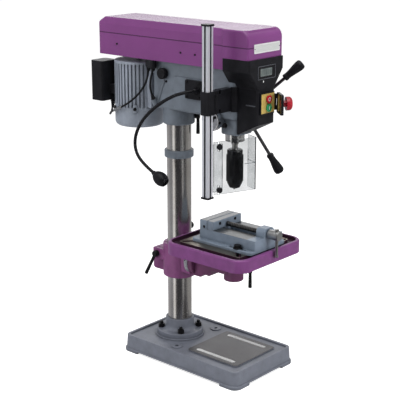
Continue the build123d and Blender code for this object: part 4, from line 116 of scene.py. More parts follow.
world = bpy.data.worlds.new("white_room")
scene.world = world
world.use_nodes = True
room = world.node_tree
room.nodes.clear()
white = (1.0, 1.0, 1.0, 1.0)
rear_wall = (0.46, 0.46, 0.48, 1.0)
left_wall = (0.24, 0.245, 0.265, 1.0)
right_wall = (0.33, 0.33, 0.33, 1.0)
dim_strip = (0.52, 0.53, 0.54, 1.0)
dark_corner = (0.10, 0.10, 0.105, 1.0)
dark_room = (0.045, 0.045, 0.050, 1.0)
ceiling_grey = (0.75, 0.75, 0.75, 1.0)
ambient_strength = 0.42
to_camera, beside_camera = (-0.7494, -0.6621, 0.0), (0.6621, -0.7494, 0.0)
heading = add_node(room, "TexCoord").outputs["Generated"]
toward, aside = [
    add_node(room, "VectorMath", {0: heading, 1: way}, operation="DOT_PRODUCT").outputs["Value"]
    for way in (to_camera, beside_camera)
]
round_room = add_node(room, "MapRange", {
    "Value": reckon(room, "ARCTAN2", aside, toward), "From Min": -math.pi, "From Max": math.pi,
}).outputs["Result"]
walls = add_node(room, "ValToRGB", {"Fac": round_room})
# Positions run once round the room from the rear wall, with the camera in front of the middle, at 0.5.
set_stops(walls, [
    (0.0, rear_wall), (1.0, rear_wall), (0.13, rear_wall), (0.28, left_wall), (0.322, left_wall),
    (0.332, white), (0.378, white), (0.395, dark_room), (0.572, dark_room), (0.583, dim_strip),
    (0.606, dim_strip), (0.618, dark_corner), (0.675, dark_corner), (0.730, right_wall), (0.85, right_wall),
])
upward = add_node(room, "SeparateXYZ", {0: heading}).outputs["Z"]
ceiling = add_node(room, "MapRange", {"Value": upward, "From Min": 0.45, "From Max": 0.75}).outputs["Result"]
mirrored = add_node(
    room, "Mix", {0: ceiling, 6: walls.outputs["Color"], 7: ceiling_grey}, data_type="RGBA",
).outputs[2]
ray = add_node(room, "LightPath").outputs
ambient = add_node(room, "Background", {"Color": white, "Strength": ambient_strength}).outputs[0]
mirror = add_node(room, "Background", {"Color": mirrored, "Strength": 1.0}).outputs[0]
sky = add_node(room, "Background", {"Color": white, "Strength": 1.0}).outputs[0]
unmirrored = reckon(room, "LESS_THAN", ray["Glossy Depth"], 0.5)
through = reckon(room, "MULTIPLY", ray["Is Transmission Ray"], unmirrored)
glossed = reckon(room, "SUBTRACT", ray["Is Transmission Ray"], through)
glossed = reckon(room, "MAXIMUM", glossed, ray["Is Glossy Ray"])
unseen = add_node(room, "MixShader", {0: glossed, 1: ambient, 2: mirror}).outputs[0]
seen = reckon(room, "MAXIMUM", ray["Is Camera Ray"], through)
whole = add_node(room, "MixShader", {0: seen, 1: unseen, 2: sky}).outputs[0]
add_node(room, "OutputWorld", {0: whole})

floor_half = 12.0
floor_grey = (0.86, 0.86, 0.86, 1.0)
glow_straight, glow_through = 0.66, 0.25
floor_mesh = bpy.data.meshes.new("floor")
floor_corners = [(x * floor_half, y * floor_half, 0) for x, y in ((-1, -1), (1, -1), (1, 1), (-1, 1))]
floor_mesh.from_pydata(floor_corners, [], [(0, 1, 2, 3)])
floor = bpy.data.objects.new("floor", floor_mesh)
floor.visible_glossy = False
scene.collection.objects.link(floor)
floor_paint = bpy.data.materials.new("floor_paint")
floor_paint.use_nodes = True
tree = floor_paint.node_tree
tree.nodes.clear()
ray = add_node(tree, "LightPath").outputs
through = reckon(tree, "MULTIPLY", ray["Is Transmission Ray"], glow_through)
straight = reckon(tree, "MULTIPLY", ray["Is Camera Ray"], glow_straight)
glow = reckon(tree, "MAXIMUM", straight, through)
matt = add_node(tree, "BsdfDiffuse", {"Color": floor_grey}).outputs[0]
shine = add_node(tree, "Emission", {"Color": white, "Strength": glow}).outputs[0]
both = add_node(tree, "AddShader", {0: matt, 1: shine}).outputs[0]
glossed = reckon(tree, "GREATER_THAN", ray["Glossy Depth"], 0.5)
glossed = reckon(tree, "MULTIPLY", glossed, ray["Is Transmission Ray"])
clear = add_node(tree, "BsdfTransparent").outputs[0]
whole = add_node(tree, "MixShader", {0: glossed, 1: both, 2: clear}).outputs[0]
add_node(tree, "OutputMaterial", {0: whole})
floor_mesh.materials.append(floor_paint)


# Base plate and column flange
# Grey iron castings under smooth enamel. The pad is ground bare, and the walls of its two clamping slots
# are painted white, a painted light standing in for the lit floor seen through them. Four blackened
# bolts hold the flange of the column on its seat.
def linear(red, green, blue):
    """A colour given as 0 to 255 screen values, as the linear values that shaders use."""
    screen = np.clip(np.array([red, green, blue]) / 255.0, 0, 1)
    light = np.where(screen <= 0.04045, screen / 12.92, ((screen + 0.055) / 1.055) ** 2.4)
    return (*[float(value) for value in light], 1.0)


def tint(colour, share):
    """A screen colour made lighter or darker by a share, as linear values."""
    return linear(*(np.array(colour) * share))


class Finish:
    """A node material under construction: its shader, its Object coordinates, and short ways to add nodes."""

    def __init__(self, name, **sockets):
        self.material = bpy.data.materials.new(name)
        self.material.use_nodes = True
        self.tree = self.material.node_tree
        self.shader = self.tree.nodes["Principled BSDF"]
        self.place = self.add("TexCoord").outputs["Object"]
        self.axes = self.add("SeparateXYZ", {0: self.place}).outputs
        for socket, value in sockets.items():
            self.shader.inputs[socket.replace("_", " ")].default_value = value

    def add(self, kind, inputs=(), **settings):
        """Adds a node to this material."""
        return add_node(self.tree, kind, inputs, **settings)

    def stretched(self, scale):
        """Object coordinates multiplied by a scale on each axis."""
        return self.add("Mapping", {"Vector": self.place, "Scale": scale}).outputs[0]

    def cloud(self, scale, detail=3.0, rough=0.55, place=None):
        """Fractal noise from 0 to 1, so many waves to the metre."""
        inputs = {"Vector": place or self.place, "Scale": scale, "Detail": detail, "Roughness": rough}
        return self.add("TexNoise", inputs).outputs["Fac"]

    def graded(self, factor, *stops):
        """Colours along a factor, given as pairs of position and colour."""
        ramp = self.add("ValToRGB", {"Fac": factor})
        set_stops(ramp, stops)
        return ramp.outputs["Color"]

    def shades(self, factor, low, high, start=0.3, end=0.7):
        """Screen colours that go from low to high as a factor goes from a start to an end."""
        return self.graded(factor, (start, linear(*low)), (end, linear(*high)))

    def between(self, factor, low, high):
        """A factor from 0 to 1 mapped to lie between two values."""
        return self.add("MapRange", {"Value": factor, "To Min": low, "To Max": high}).outputs["Result"]

    def step(self, factor, start, end):
        """0 up to a start, 1 from an end, and even between them."""
        return self.add("MapRange", {"Value": factor, "From Min": start, "From Max": end}).outputs["Result"]

    def sum(self, operation, first, second=0.0):
        """One arithmetic step in this material."""
        return reckon(self.tree, operation, first, second)

    def times(self, first, second):
        """The product of two values."""
        return self.sum("MULTIPLY", first, second)

    def below(self, value, limit):
        """1 where a value is less than a limit."""
        return self.sum("LESS_THAN", value, limit)

    def above(self, value, limit):
        """1 where a value is more than a limit."""
        return self.sum("GREATER_THAN", value, limit)

    def angle(self, axis, level):
        """The angle from x towards another axis, whose values are counted from a level."""
        return self.sum("ARCTAN2", self.sum("SUBTRACT", self.axes[axis], level), self.axes[0])

    def over(self, mask, under, top):
        """One colour laid over another where the mask is 1."""
        return self.add("Mix", {0: mask, 6: under, 7: top}, data_type="RGBA").outputs[2]

    def over_value(self, mask, under, top):
        """One value laid over another where the mask is 1."""
        return self.add("Mix", {0: mask, 2: under, 3: top}, data_type="FLOAT").outputs[0]

    def edge(self, radius):
        """1 along sharp outer edges and 0 elsewhere: how far a rounded normal leans from the true one."""
        rounded = self.add("Bevel", {"Radius": radius}, samples=4).outputs[0]
        flat = self.add("NewGeometry").outputs["Normal"]
        lean = self.add("VectorMath", {0: rounded, 1: flat}, operation="DOT_PRODUCT").outputs["Value"]
        return self.step(lean, 0.985, 0.80)

    def crevice(self, reach):
        """1 deep in a corner or groove and 0 in the open, within a reach."""
        opened = self.add("AmbientOcclusion", {"Distance": reach}, samples=6).outputs["AO"]
        return self.sum("SUBTRACT", 1.0, opened)

    def inside(self, low, high, paired=False):
        """1 where the Object coordinates lie between two corners; paired also takes the box mirrored in x."""
        x = self.sum("ABSOLUTE", self.axes[0]) if paired else self.axes[0]
        mask = None
        for value, least, most in zip((x, self.axes[1], self.axes[2]), low, high):
            here = self.times(self.above(value, least), self.below(value, most))
            mask = here if mask is None else self.times(mask, here)
        return mask

    def from_middle(self, *middle):
        """How far a point lies from a middle along x and along y, as two distances."""
        return [
            self.sum("ABSOLUTE", self.sum("SUBTRACT", self.axes[axis], value))
            for axis, value in enumerate(middle)
        ]

    def wear(self, colour=None, roughness=None, metallic=None):
        """Links what varies over the surface to the shader."""
        for socket, value in (("Base Color", colour), ("Roughness", roughness), ("Metallic", metallic)):
            if value is not None:
                self.tree.links.new(value, self.shader.inputs[socket])

    def relief(self, *layers, rounding=0.0):
        """Bumps, each a height socket with its depth in metres, on edges rounded by a radius."""
        normal = None
        if rounding:
            normal = self.add("Bevel", {"Radius": rounding}, samples=4).outputs[0]
        for height, depth in layers:
            inputs = {"Height": height, "Distance": depth, "Strength": 1.0}
            if normal is not None:
                inputs["Normal"] = normal
            normal = self.add("Bump", inputs).outputs[0]
        self.tree.links.new(normal, self.shader.inputs["Normal"])

    def grained(self, grain, low, high, rough, depth, rounding=0.0, end=0.7, tone=None, marked=None):
        """A surface of one grain, which gives its colour, its roughness and its relief. The colour may
        follow a tone of its own, and may be marked with another colour where a mask is 1."""
        colour = self.shades(tone or grain, low, high, end=end)
        if marked:
            mask, mark = marked
            colour = self.over(mask, colour, linear(*mark))
        self.wear(colour, self.between(grain, *rough))
        self.relief((grain, depth), rounding=rounding)


def dress(finish, *nodes):
    """Gives CAD nodes a finish."""
    for name in nodes:
        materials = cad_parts[name].data.materials
        materials.clear()
        materials.append(finish.material)


class Enamel(Finish):
    """Enamel on cast iron: faintly mottled colour, paler on edges as thin worn paint and as a painted
    highlight, with painted shade in corners, over a softly pebbled skin. Bare places are laid over it
    before it is finished."""

    def __init__(self, name, colour, rough, shadow=0.7):
        super().__init__(name, IOR=1.5)
        mottle = self.cloud(34, 5, 0.62)
        self.skin = self.cloud(420, 3)
        self.shade = self.graded(
            mottle, (0.30, tint(colour, 0.93)), (0.52, tint(colour, 1.0)), (0.74, tint(colour, 1.06)))
        # Paler edges: partly thin worn paint, partly a painted highlight.
        worn_and_highlit_edge = self.times(self.edge(0.0014), self.between(self.cloud(150, 4), -0.35, 1.2))
        self.shade = self.over(self.times(worn_and_highlit_edge, 0.5), self.shade, tint(colour, 1.34))
        # Painted shade: corners and grooves are darkened, by the shadow share, where shade falls.
        painted_corner_shade = self.times(self.crevice(0.010), shadow)
        self.shade = self.over(painted_corner_shade, self.shade, tint(colour, 0.42))
        self.rough = self.between(self.skin, rough - 0.06, rough + 0.09)
        self.metal = None

    def lay(self, mask, colour, roughness, metallic=1.0):
        """Lays another surface over the enamel where the mask is 1."""
        self.shade = self.over(mask, self.shade, colour)
        self.rough = self.over_value(mask, self.rough, roughness)
        self.metal = self.over_value(mask, self.metal if self.metal else 0.0, metallic)

    def ground(self, mask, streak, low, high):
        """Lays bare ground iron over the enamel; the wheel's marks run across the streak's large axis."""
        lines = self.cloud(60, 4, 0.6, self.stretched(streak))
        stain = self.cloud(14, 4)
        mixed = self.sum("ADD", self.times(lines, 0.6), self.times(stain, 0.4))
        self.lay(mask, self.shades(mixed, low, high, start=0.25, end=0.75), self.between(lines, 0.28, 0.44))

    def finish(self):
        """Links the layers and the pebbled skin to the shader."""
        self.wear(self.shade, self.rough, self.metal)
        self.relief((self.skin, 0.00028), (self.cloud(1500, 2), 0.00006), rounding=0.0012)
        return self


base_enamel = Enamel("base_enamel", (112, 116, 127), rough=0.40)
base_pad = base_enamel.inside((-0.094, -0.2335, 0.0512), (0.094, -0.0425, 0.0526))
# Painted light: the slots' walls are white, as the lit floor shows through them.
base_slots_painted_light = base_enamel.inside((0.060, -0.22, 0.03), (0.082, -0.05, 0.0513), paired=True)
base_enamel.ground(base_pad, streak=(9, 260, 9), low=(62, 61, 62), high=(103, 102, 103))
base_enamel.lay(base_slots_painted_light, linear(250, 250, 250), roughness=0.5, metallic=0.0)
base_enamel.finish()
dress(base_enamel, "base_plate", "column_flange")

bolt_oxide = Finish("bolt_oxide", Metallic=0.7, IOR=1.5)
bolt_spots = bolt_oxide.cloud(300, 4)
bolt_oxide.wear(
    bolt_oxide.shades(bolt_spots, (18, 18, 20), (46, 45, 47), end=0.75),
    bolt_oxide.between(bolt_spots, 0.30, 0.52),
)
bolt_oxide.relief((bolt_oxide.cloud(900, 2), 0.0001), rounding=0.0006)
dress(bolt_oxide, "flange_bolts")

# Column, rack and collar
# A tube of bright ground steel: fine rings of the grinding wheel run round it, with faint stains of
# handling. The rack behind it is milled from flat steel, under a collar in the head's grey enamel.
column_steel = Finish("column_steel", Metallic=1.0)
grind = column_steel.cloud(40, 4, 0.6, column_steel.stretched((2, 2, 130)))
stain = column_steel.cloud(9, 4)
handled = column_steel.sum("ADD", column_steel.times(grind, 0.3), column_steel.times(stain, 0.7))
column_steel.wear(
    column_steel.shades(handled, (196, 191, 186), (226, 223, 219), start=0.35, end=0.65),
    column_steel.between(grind, 0.20, 0.30),
)
column_steel.relief((grind, 0.00003))
dress(column_steel, "column")

milled_steel = Finish("milled_steel", Metallic=1.0)
cutter = milled_steel.cloud(70, 3, 0.5, milled_steel.stretched((1, 30, 30)))
milled_steel.grained(
    cutter, (150, 149, 147), (206, 204, 201), rough=(0.22, 0.38), depth=0.00006, rounding=0.0004)
dress(milled_steel, "table_rack", "crank_shaft", "feed_shaft", "spindle", "motor_shaft", "tommy_bar")

head_enamel = Enamel("head_enamel", (102, 110, 120), rough=0.38).finish()
dress(head_enamel, "rack_collar", "head_casting")

# Table bracket, arm and table
# Iron castings in purple enamel. The bracket is split and clamped on the column, the arm tilts on its
# face, and the table turns in the arm. The table's middle is ground bare inside its trough and rim.
purple = (116, 60, 117)
# The bracket's purple is painted lighter and the arm's darker than the table's: painted light on the bracket,
# and painted shade on the arm, which lies in the table's shadow.
bracket_purple_painted_light = Enamel("bracket_purple_painted_light", (124, 66, 115), rough=0.36).finish()
dress(bracket_purple_painted_light, "table_bracket")
arm_purple_painted_shade = Enamel("arm_purple_painted_shade", (96, 46, 84), rough=0.40).finish()
dress(arm_purple_painted_shade, "table_arm")

table_purple = Enamel("table_purple", purple, rough=0.34)
rim_half, rim_round, rim_top = 0.1372, 0.032, 0.3934
past_corner = [
    table_purple.sum("MAXIMUM", table_purple.sum("SUBTRACT", distance, rim_half - rim_round), 0.0)
    for distance in table_purple.from_middle(0.0, -0.145)
]
from_corner = table_purple.sum("SQRT", table_purple.sum(
    "ADD", *[table_purple.sum("POWER", past, 2.0) for past in past_corner]))
in_rim = table_purple.below(from_corner, rim_round)
# Painted dark in the trough: partly oil in it, partly painted shade.
trough = table_purple.times(in_rim, table_purple.inside((-0.2, -0.4, 0.34), (0.2, 0.1, rim_top)))
table_purple.lay(trough, linear(52, 26, 44), roughness=0.42, metallic=0.0)
table_top = table_purple.inside((-0.1135, -0.2585, 0.3914), (0.1135, -0.0315, 0.3926))
table_purple.ground(table_top, streak=(160, 8, 8), low=(104, 97, 88), high=(160, 151, 139))
table_purple.finish()
dress(table_purple, "table")

lever_black = Finish("lever_black", IOR=1.46, Specular_IOR_Level=0.22)
lever_black.grained(
    lever_black.cloud(700, 2), (16, 16, 18), (30, 30, 33), rough=(0.36, 0.52), depth=0.00012,
    rounding=0.0008, end=0.8, tone=lever_black.cloud(120, 3),
)
dress(lever_black, "clamp_lever", "table_lock_lever", "head_lever", "crank_handle", "motor_lock_knob")


def skin(name, grids, finish, body, crease=35):
    """A piece from grids of rings: four-sided faces join each ring to the next and close round it, and a
    ring that shrinks to a point or a line closes an end. Edges sharper than the crease angle stay sharp."""
    points, faces, count = [], [], 0
    for grid in grids:
        rows, around = grid.shape[:2]
        index = np.arange(rows * around).reshape(rows, around) + count
        beside = np.roll(index, -1, axis=1)
        faces.append(np.stack((index[:-1], beside[:-1], beside[1:], index[1:]), axis=-1).reshape(-1, 4))
        points.append(grid.reshape(-1, 3))
        count += rows * around
    mesh = bpy.data.meshes.new(name)
    mesh.from_pydata(np.concatenate(points).tolist(), [], np.concatenate(faces).tolist())
    shell = bmesh.new()
    shell.from_mesh(mesh)
    bmesh.ops.remove_doubles(shell, verts=shell.verts, dist=1e-6)
    bmesh.ops.dissolve_degenerate(shell, edges=shell.edges, dist=1e-7)
    bmesh.ops.recalc_face_normals(shell, faces=shell.faces)
    shell.to_mesh(mesh)
    shell.free()
    mesh.shade_smooth()
    mesh.set_sharp_from_angle(angle=math.radians(crease))
    mesh.materials.append(finish.material)
    piece = bpy.data.objects.new(name, mesh)
    scene.collection.objects.link(piece)
    if body:
        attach(piece, body)
    return piece


def turned(profile, start, along, sides=40, hexed=(), swell=None):
    """A turned surface: each pair of distance and radius in mm along an axis is a ring. Hexed rings follow
    a hexagon, whose radius is cos 30 over the cosine of the angle from its nearest flat; swell scales radii
    over the grid. A profile that ends where it starts closes as a ring."""
    axis = np.array(along, float) / np.linalg.norm(along)
    right = np.cross(axis, np.eye(3)[np.argmin(np.abs(axis))])
    right /= np.linalg.norm(right)
    up = np.cross(axis, right)
    turn = np.linspace(0, 2 * math.pi, sides, endpoint=False)
    spoke = np.cos(turn)[:, None] * right + np.sin(turn)[:, None] * up
    distance, radius = np.array(profile, float).T / 1000.0
    share = np.ones((len(profile), sides)) if swell is None else swell
    share[list(hexed)] = math.cos(math.pi / 6) / np.cos(np.mod(turn, math.pi / 3) - math.pi / 6)
    rings = (radius[:, None] * share)[:, :, None] * spoke
    return np.array(start) / 1000.0 + distance[:, None, None] * axis + rings


def socket_screw(place, outward, radius, height):
    """A screw with a round head of a radius and height in mm and a hexagonal socket."""
    profile = [
        (0, 0), (0, radius), (0.8 * height, radius), (height, 0.86 * radius), (height, 0.56 * radius),
        (0.45 * height, 0.54 * radius), (0.45 * height, 0),
    ]
    return turned(profile, place, outward, sides=36, hexed=(4, 5))


def capped(rings):
    """Rings in mm as a closed grid in metres: each end shrinks to a point in the middle of its ring."""
    ends = np.repeat(rings[[0, -1]].mean(axis=1, keepdims=True), rings.shape[1], axis=1)
    return np.concatenate((ends[:1], rings, ends[1:])) / 1000.0


# The tilt scale is a thin bent strip of silvered brass on the bracket's flange, divided every five
# degrees, with a longer line every fifteen, and held by two rivets.
scale_axis_z, flange_radius = 300.0, 45.0
scale_silver = Finish("scale_silver", Metallic=1.0)
brushed = scale_silver.cloud(90, 3, 0.5, scale_silver.stretched((6, 60, 6)))
scale_degrees = scale_silver.times(scale_silver.angle(2, scale_axis_z / 1000), 180 / math.pi)
scale_lines = []
for half_step, half_width, line_end in ((2.5, 0.5, 0.0022), (7.5, 0.55, 0.0055)):
    from_line = scale_silver.sum("ABSOLUTE", scale_silver.sum("PINGPONG", scale_degrees, half_step))
    on_line = scale_silver.below(from_line, half_width)
    in_length = scale_silver.below(scale_silver.axes[1], line_end)
    scale_lines.append(scale_silver.times(on_line, in_length))
scale_silver.grained(
    brushed, (206, 207, 210), (232, 233, 235), rough=(0.26, 0.40), depth=0.00003,
    marked=(scale_silver.times(scale_silver.sum("MAXIMUM", *scale_lines), 0.9), (40, 38, 40)),
)
strip_turn = np.radians(np.linspace(166, 232, 45))[:, None]
strip_y = np.broadcast_to([-2.4, -2.4, 10.6, 10.6], (45, 4))
strip_r = flange_radius + np.array([0.12, 0.75, 0.75, 0.12])
tilt_strip = np.stack(
    (strip_r * np.cos(strip_turn), strip_y, scale_axis_z + strip_r * np.sin(strip_turn)), axis=-1)
skin("tilt_scale", [capped(tilt_strip)], scale_silver, "bracket")
rivet_y, rivet_seat_r = 7.0, 45.7
scale_rivet = [(0, 0), (0, 2.2), (0.6, 2.1), (1.1, 1.4), (1.3, 0)]
rivet_out = [np.array([math.cos(turn), 0.0, math.sin(turn)]) for turn in np.radians([171, 227])]
skin(
    "scale_rivets",
    [
        turned(scale_rivet, rivet_seat_r * out + (0, rivet_y, scale_axis_z), out, sides=20)
        for out in rivet_out
    ],
    bolt_oxide, "bracket",
)

# Drill vice
# A light vice of cast iron in blue-grey paint, with planed faces on the bed, a rolled screw and a
# sliding bar to turn it. Two blackened bolts with wide washers hold it in the table's slots.
vice_enamel = Enamel("vice_enamel", (118, 130, 145), rough=0.34)
vice_bed = vice_enamel.inside((-0.0640, -0.2440, 0.4296), (0.0640, -0.0680, 0.4304))
jaw_top = vice_enamel.inside((-0.0640, -0.1300, 0.4546), (0.0640, -0.0600, 0.4556))
vice_enamel.ground(vice_bed, streak=(8, 160, 8), low=(96, 97, 98), high=(142, 143, 143))
vice_enamel.ground(jaw_top, streak=(160, 8, 8), low=(104, 106, 108), high=(158, 159, 160))
vice_enamel.finish()
dress(vice_enamel, "vice_base", "vice_jaw")

screw_steel = Finish("screw_steel", Metallic=1.0)
screw_pitch, screw_z, hub_rear = 0.006, 0.438, -0.274
screw_phase = screw_steel.sum(
    "ADD", screw_steel.sum("DIVIDE", screw_steel.axes[1], screw_pitch),
    screw_steel.sum("DIVIDE", screw_steel.angle(2, screw_z), 2 * math.pi),
)
flank = screw_steel.times(screw_steel.sum("PINGPONG", screw_phase, 0.5), 2.0)
flank = screw_steel.times(flank, screw_steel.above(screw_steel.axes[1], hub_rear))
oil = screw_steel.cloud(80, 3)
# Painted shade: the thread's grooves are darker.
thread_colour_with_painted_shade = screw_steel.over(
    screw_steel.step(flank, 0.5, 0.9),
    screw_steel.shades(oil, (84, 83, 82), (112, 111, 110)), linear(52, 51, 50),
)
hub_colour = screw_steel.shades(oil, (168, 168, 168), (198, 198, 197))
screw_steel.wear(
    screw_steel.over(screw_steel.below(screw_steel.axes[1], hub_rear), thread_colour_with_painted_shade, hub_colour),
    screw_steel.between(oil, 0.24, 0.38),
)
screw_steel.relief((screw_steel.sum("SUBTRACT", 1.0, flank), 0.0004), rounding=0.0005)
dress(screw_steel, "vice_screw")

upright = (0, 0, 1)
vice_bolt_x, vice_bolt_y, vice_flange_top = 71.0, -217.0, 401.0
vice_washer = [(0.1, 0), (0.1, 13.5), (1.9, 13.5), (2.3, 13.0), (2.3, 0)]
vice_bolt_head = [(2.3, 0), (2.3, 11.0), (9.4, 11.0), (10.3, 9.9), (10.3, 0)]
vice_bolt_shank = [(0, 0), (0, 4.1), (-24, 4.1), (-24, 0)]
vice_bolts = []
for side in (-1, 1):
    seat = (side * vice_bolt_x, vice_bolt_y, vice_flange_top)
    vice_bolts.append(turned(vice_washer, seat, upright))
    vice_bolts.append(turned(vice_bolt_head, seat, upright, sides=48, hexed=(1, 2)))
    vice_bolts.append(turned(vice_bolt_shank, seat, upright))
skin("vice_bolts", vice_bolts, bolt_oxide, "table")
skin(
    "jaw_screws_fixed",
    [socket_screw((side * 63.4, -86.0, 436), (side, 0, 0), radius=4.0, height=1.6) for side in (-1, 1)],
    bolt_oxide, "table",
)
to_front = (0, -1, 0)
skin(
    "jaw_screws_moving",
    [socket_screw((x, -120.2, 446), to_front, radius=4.2, height=1.8) for x in (-34, 34)],
    bolt_oxide, "vice_jaw",
)

# Head fittings
# The head is cast in grey iron with raised side panels. A blackened screw pinches the quill's bore,
# and a cast bead and a grease screw show behind the left panel.
to_left = (-1, 0, 0)
pinch_screw = [(0, 0), (0, 7.5), (1.2, 7.5), (1.2, 6.4), (6.0, 6.4), (6.8, 5.6), (6.8, 0)]
skin(
    "head_screws",
    [
        turned(pinch_screw, (-48, -149.5, 738.5), to_left, sides=48, hexed=(3, 4)),
        socket_screw((-48, 73, 837), to_left, radius=3.2, height=2.0),
    ],
    bolt_oxide, "frame",
)
bead_start, bead_end = np.array([-47.0, 80.0, 841.0]), np.array([-47.0, 113.0, 764.0])
bead_length = float(np.linalg.norm(bead_end - bead_start))
bead_profile = [
    (0, 0), (1, 2.6), (5, 4.0), (bead_length - 7, 5.6), (bead_length - 2, 4.0), (bead_length, 0),
]
skin(
    "head_bead", [turned(bead_profile, bead_start, bead_end - bead_start, sides=24)],
    head_enamel, "frame",
)

# Quill, chuck and spindle
# The quill is ground bright and ends in a turned cap. The chuck is blackened, with a collar above it
# and a ribbed sleeve over its body, and the three jaws are hardened steel.
spindle_y = -145.0
bright_steel = Finish("bright_steel", Metallic=1.0)
polish = bright_steel.cloud(60, 3, 0.5, bright_steel.stretched((1, 1, 60)))
bright_steel.grained(polish, (196, 195, 193), (226, 225, 222), rough=(0.12, 0.24), depth=0.00003)
dress(bright_steel, "quill", "chuck_jaw_1", "chuck_jaw_2", "chuck_jaw_3")
cap_ring = [(0, 16.2), (0, 26.4), (1.0, 27.4), (10.4, 27.4), (10.4, 16.2), (0, 16.2)]
skin(
    "quill_cap", [turned(cap_ring, (0, spindle_y, 687.4), upright, sides=64)],
    bright_steel, "quill",
)

chuck_black = Finish("chuck_black", IOR=1.5, Specular_IOR_Level=0.45)
chuck_ribs, ribs_bottom, ribs_top = 24, 0.590, 0.632
chuck_grain = chuck_black.cloud(900, 3)
chuck_turn = chuck_black.times(chuck_black.angle(1, spindle_y / 1000), chuck_ribs / math.pi)
chuck_flute = chuck_black.sum("PINGPONG", chuck_turn, 1.0)
chuck_ribbed = chuck_black.inside((-1, -1, ribs_bottom), (1, 1, ribs_top))
chuck_flute = chuck_black.times(chuck_flute, chuck_ribbed)
chuck_black.wear(
    chuck_black.shades(chuck_black.cloud(90, 4), (9, 9, 12), (20, 20, 24), end=0.8),
    chuck_black.between(chuck_grain, 0.14, 0.28),
)
chuck_black.relief((chuck_flute, 0.0011), (chuck_grain, 0.00008), rounding=0.0006)
dress(chuck_black, "chuck_sleeve", "chuck_body")
collar_ring = [(0, 17.3), (0, 21.4), (1.5, 22.4), (9.5, 22.4), (12, 20.8), (12.6, 17.3), (0, 17.3)]
skin(
    "chuck_collar", [turned(collar_ring, (0, spindle_y, 650.4), upright, sides=48)],
    chuck_black, "spindle",
)

# Feed
# Three chromed arms are screwed into the hub on the feed shaft, and each ends in a fluted grip of
# black plastic, waisted like a bottle. The spring that lifts the quill sits in a pressed round case.
chrome = Finish("chrome", Metallic=1.0)
chrome.grained(
    chrome.cloud(140, 4), (206, 207, 210), (232, 232, 233),
    rough=(0.08, 0.18), depth=0.00005, rounding=0.0004,
)
dress(chrome, "spring_case")

arm_steel = Finish("arm_steel", Metallic=1.0)
arm_steel.grained(
    arm_steel.cloud(160, 4), (112, 110, 112), (146, 144, 146),
    rough=(0.12, 0.24), depth=0.00005, rounding=0.0004,
)
dress(arm_steel, "feed_arms")

moulded_black = Finish("moulded_black", IOR=1.46, Specular_IOR_Level=0.2)
leather = moulded_black.add("TexVoronoi", {"Vector": moulded_black.place, "Scale": 900.0}).outputs["Distance"]
# The pale grey on edges is a painted highlight.
moulded_black.grained(
    leather, (20, 20, 23), (30, 30, 34), rough=(0.30, 0.46), depth=0.00008, rounding=0.0012,
    end=0.75, tone=moulded_black.cloud(40, 4),
    marked=(moulded_black.times(moulded_black.edge(0.0012), 0.35), (74, 74, 80)),
)

feed_hub = (86.0, -108.1, 750.0)
arm_ways = ((0.4462, -0.5988, 0.6651), (0.4462, 0.8754, 0.1861), (0.4462, -0.2765, -0.8511))
grip_profile = [
    (151.6, 0), (151.6, 8.0), (152.4, 9.6), (154, 10.4), (158, 10.6), (160.5, 10.0), (163, 9.7),
    (168, 9.9), (175, 10.6), (183, 11.8), (191, 13.1), (199, 14.2), (206, 14.9), (211, 14.8),
    (215, 13.6), (217.3, 11.3), (218.3, 7.5), (218.6, 0),
]
grip_sides, flute_count, flute_depth = 96, 12, 0.075
flute_from, flute_to, flute_fade = 162, 214, 8
grip_turn = np.linspace(0, 2 * math.pi, grip_sides, endpoint=False)
grip_along = np.array(grip_profile)[:, 0]
fluted = np.clip(np.minimum(grip_along - flute_from, flute_to - grip_along) / flute_fade, 0, 1)
grip_flutes = 1 - flute_depth * fluted[:, None] * (0.5 + 0.5 * np.cos(flute_count * grip_turn)) ** 2
grips = skin(
    "fluted_grips",
    [turned(grip_profile, feed_hub, way, grip_sides, swell=grip_flutes) for way in arm_ways],
    moulded_black, "feed", crease=50,
)
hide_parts("feed_grips")
case_middle = np.array([-66.0, -108.1, 750.0])
case_screw_circle = 21
case_nut = [
    (0, 0), (0, 11), (1.6, 11), (1.6, 9.6), (8, 9.6), (9, 8.4), (9, 5.2), (12, 5.2), (13, 4.4), (13, 0),
]
case_nuts = [turned(case_nut, case_middle, to_left, sides=48, hexed=(3, 4))]
for turn in np.radians([150, 270, 30]):
    around = case_screw_circle * np.array([0, math.cos(turn), math.sin(turn)])
    case_nuts.append(socket_screw(case_middle + around, to_left, radius=4.2, height=3.0))
skin("spring_case_nuts", case_nuts, bolt_oxide, "frame")

# Belt housing
# Tray and lid are pressed from sheet steel in purple gloss paint, with a hinge at the rear. Inside, a
# rubber belt runs on two cast pulleys. A bare brushed name plate is riveted on the lid's front.
housing_purple = Finish("housing_purple", IOR=1.5)
peel = housing_purple.cloud(300, 2)
sheen = housing_purple.cloud(7, 3)
# Painted shadow and dirt: a dark line runs along the seam between lid and tray.
lid_seam_shadow_and_dirt = housing_purple.inside((-1, -1, 0.9604), (1, 1, 0.9636))
# Painted highlight: the housing's edges are painted paler.
housing_paint = housing_purple.over(
    housing_purple.times(housing_purple.edge(0.0018), 0.35),
    housing_purple.graded(sheen, (0.3, tint(purple, 0.97)), (0.7, tint(purple, 1.04))),
    tint(purple, 1.38),
)
housing_purple.wear(
    housing_purple.over(housing_purple.times(lid_seam_shadow_and_dirt, 0.75), housing_paint, tint(purple, 0.5)),
    housing_purple.between(peel, 0.17, 0.26),
)
housing_purple.relief((peel, 0.00004), (sheen, 0.001), rounding=0.0016)
dress(housing_purple, "belt_tray", "belt_lid")

raw_aluminium = Finish("raw_aluminium", Metallic=1.0)
raw_aluminium.grained(
    raw_aluminium.cloud(200, 4), (150, 152, 155), (190, 192, 195),
    rough=(0.34, 0.5), depth=0.0002, rounding=0.0006,
)
dress(raw_aluminium, "spindle_pulley", "motor_pulley")

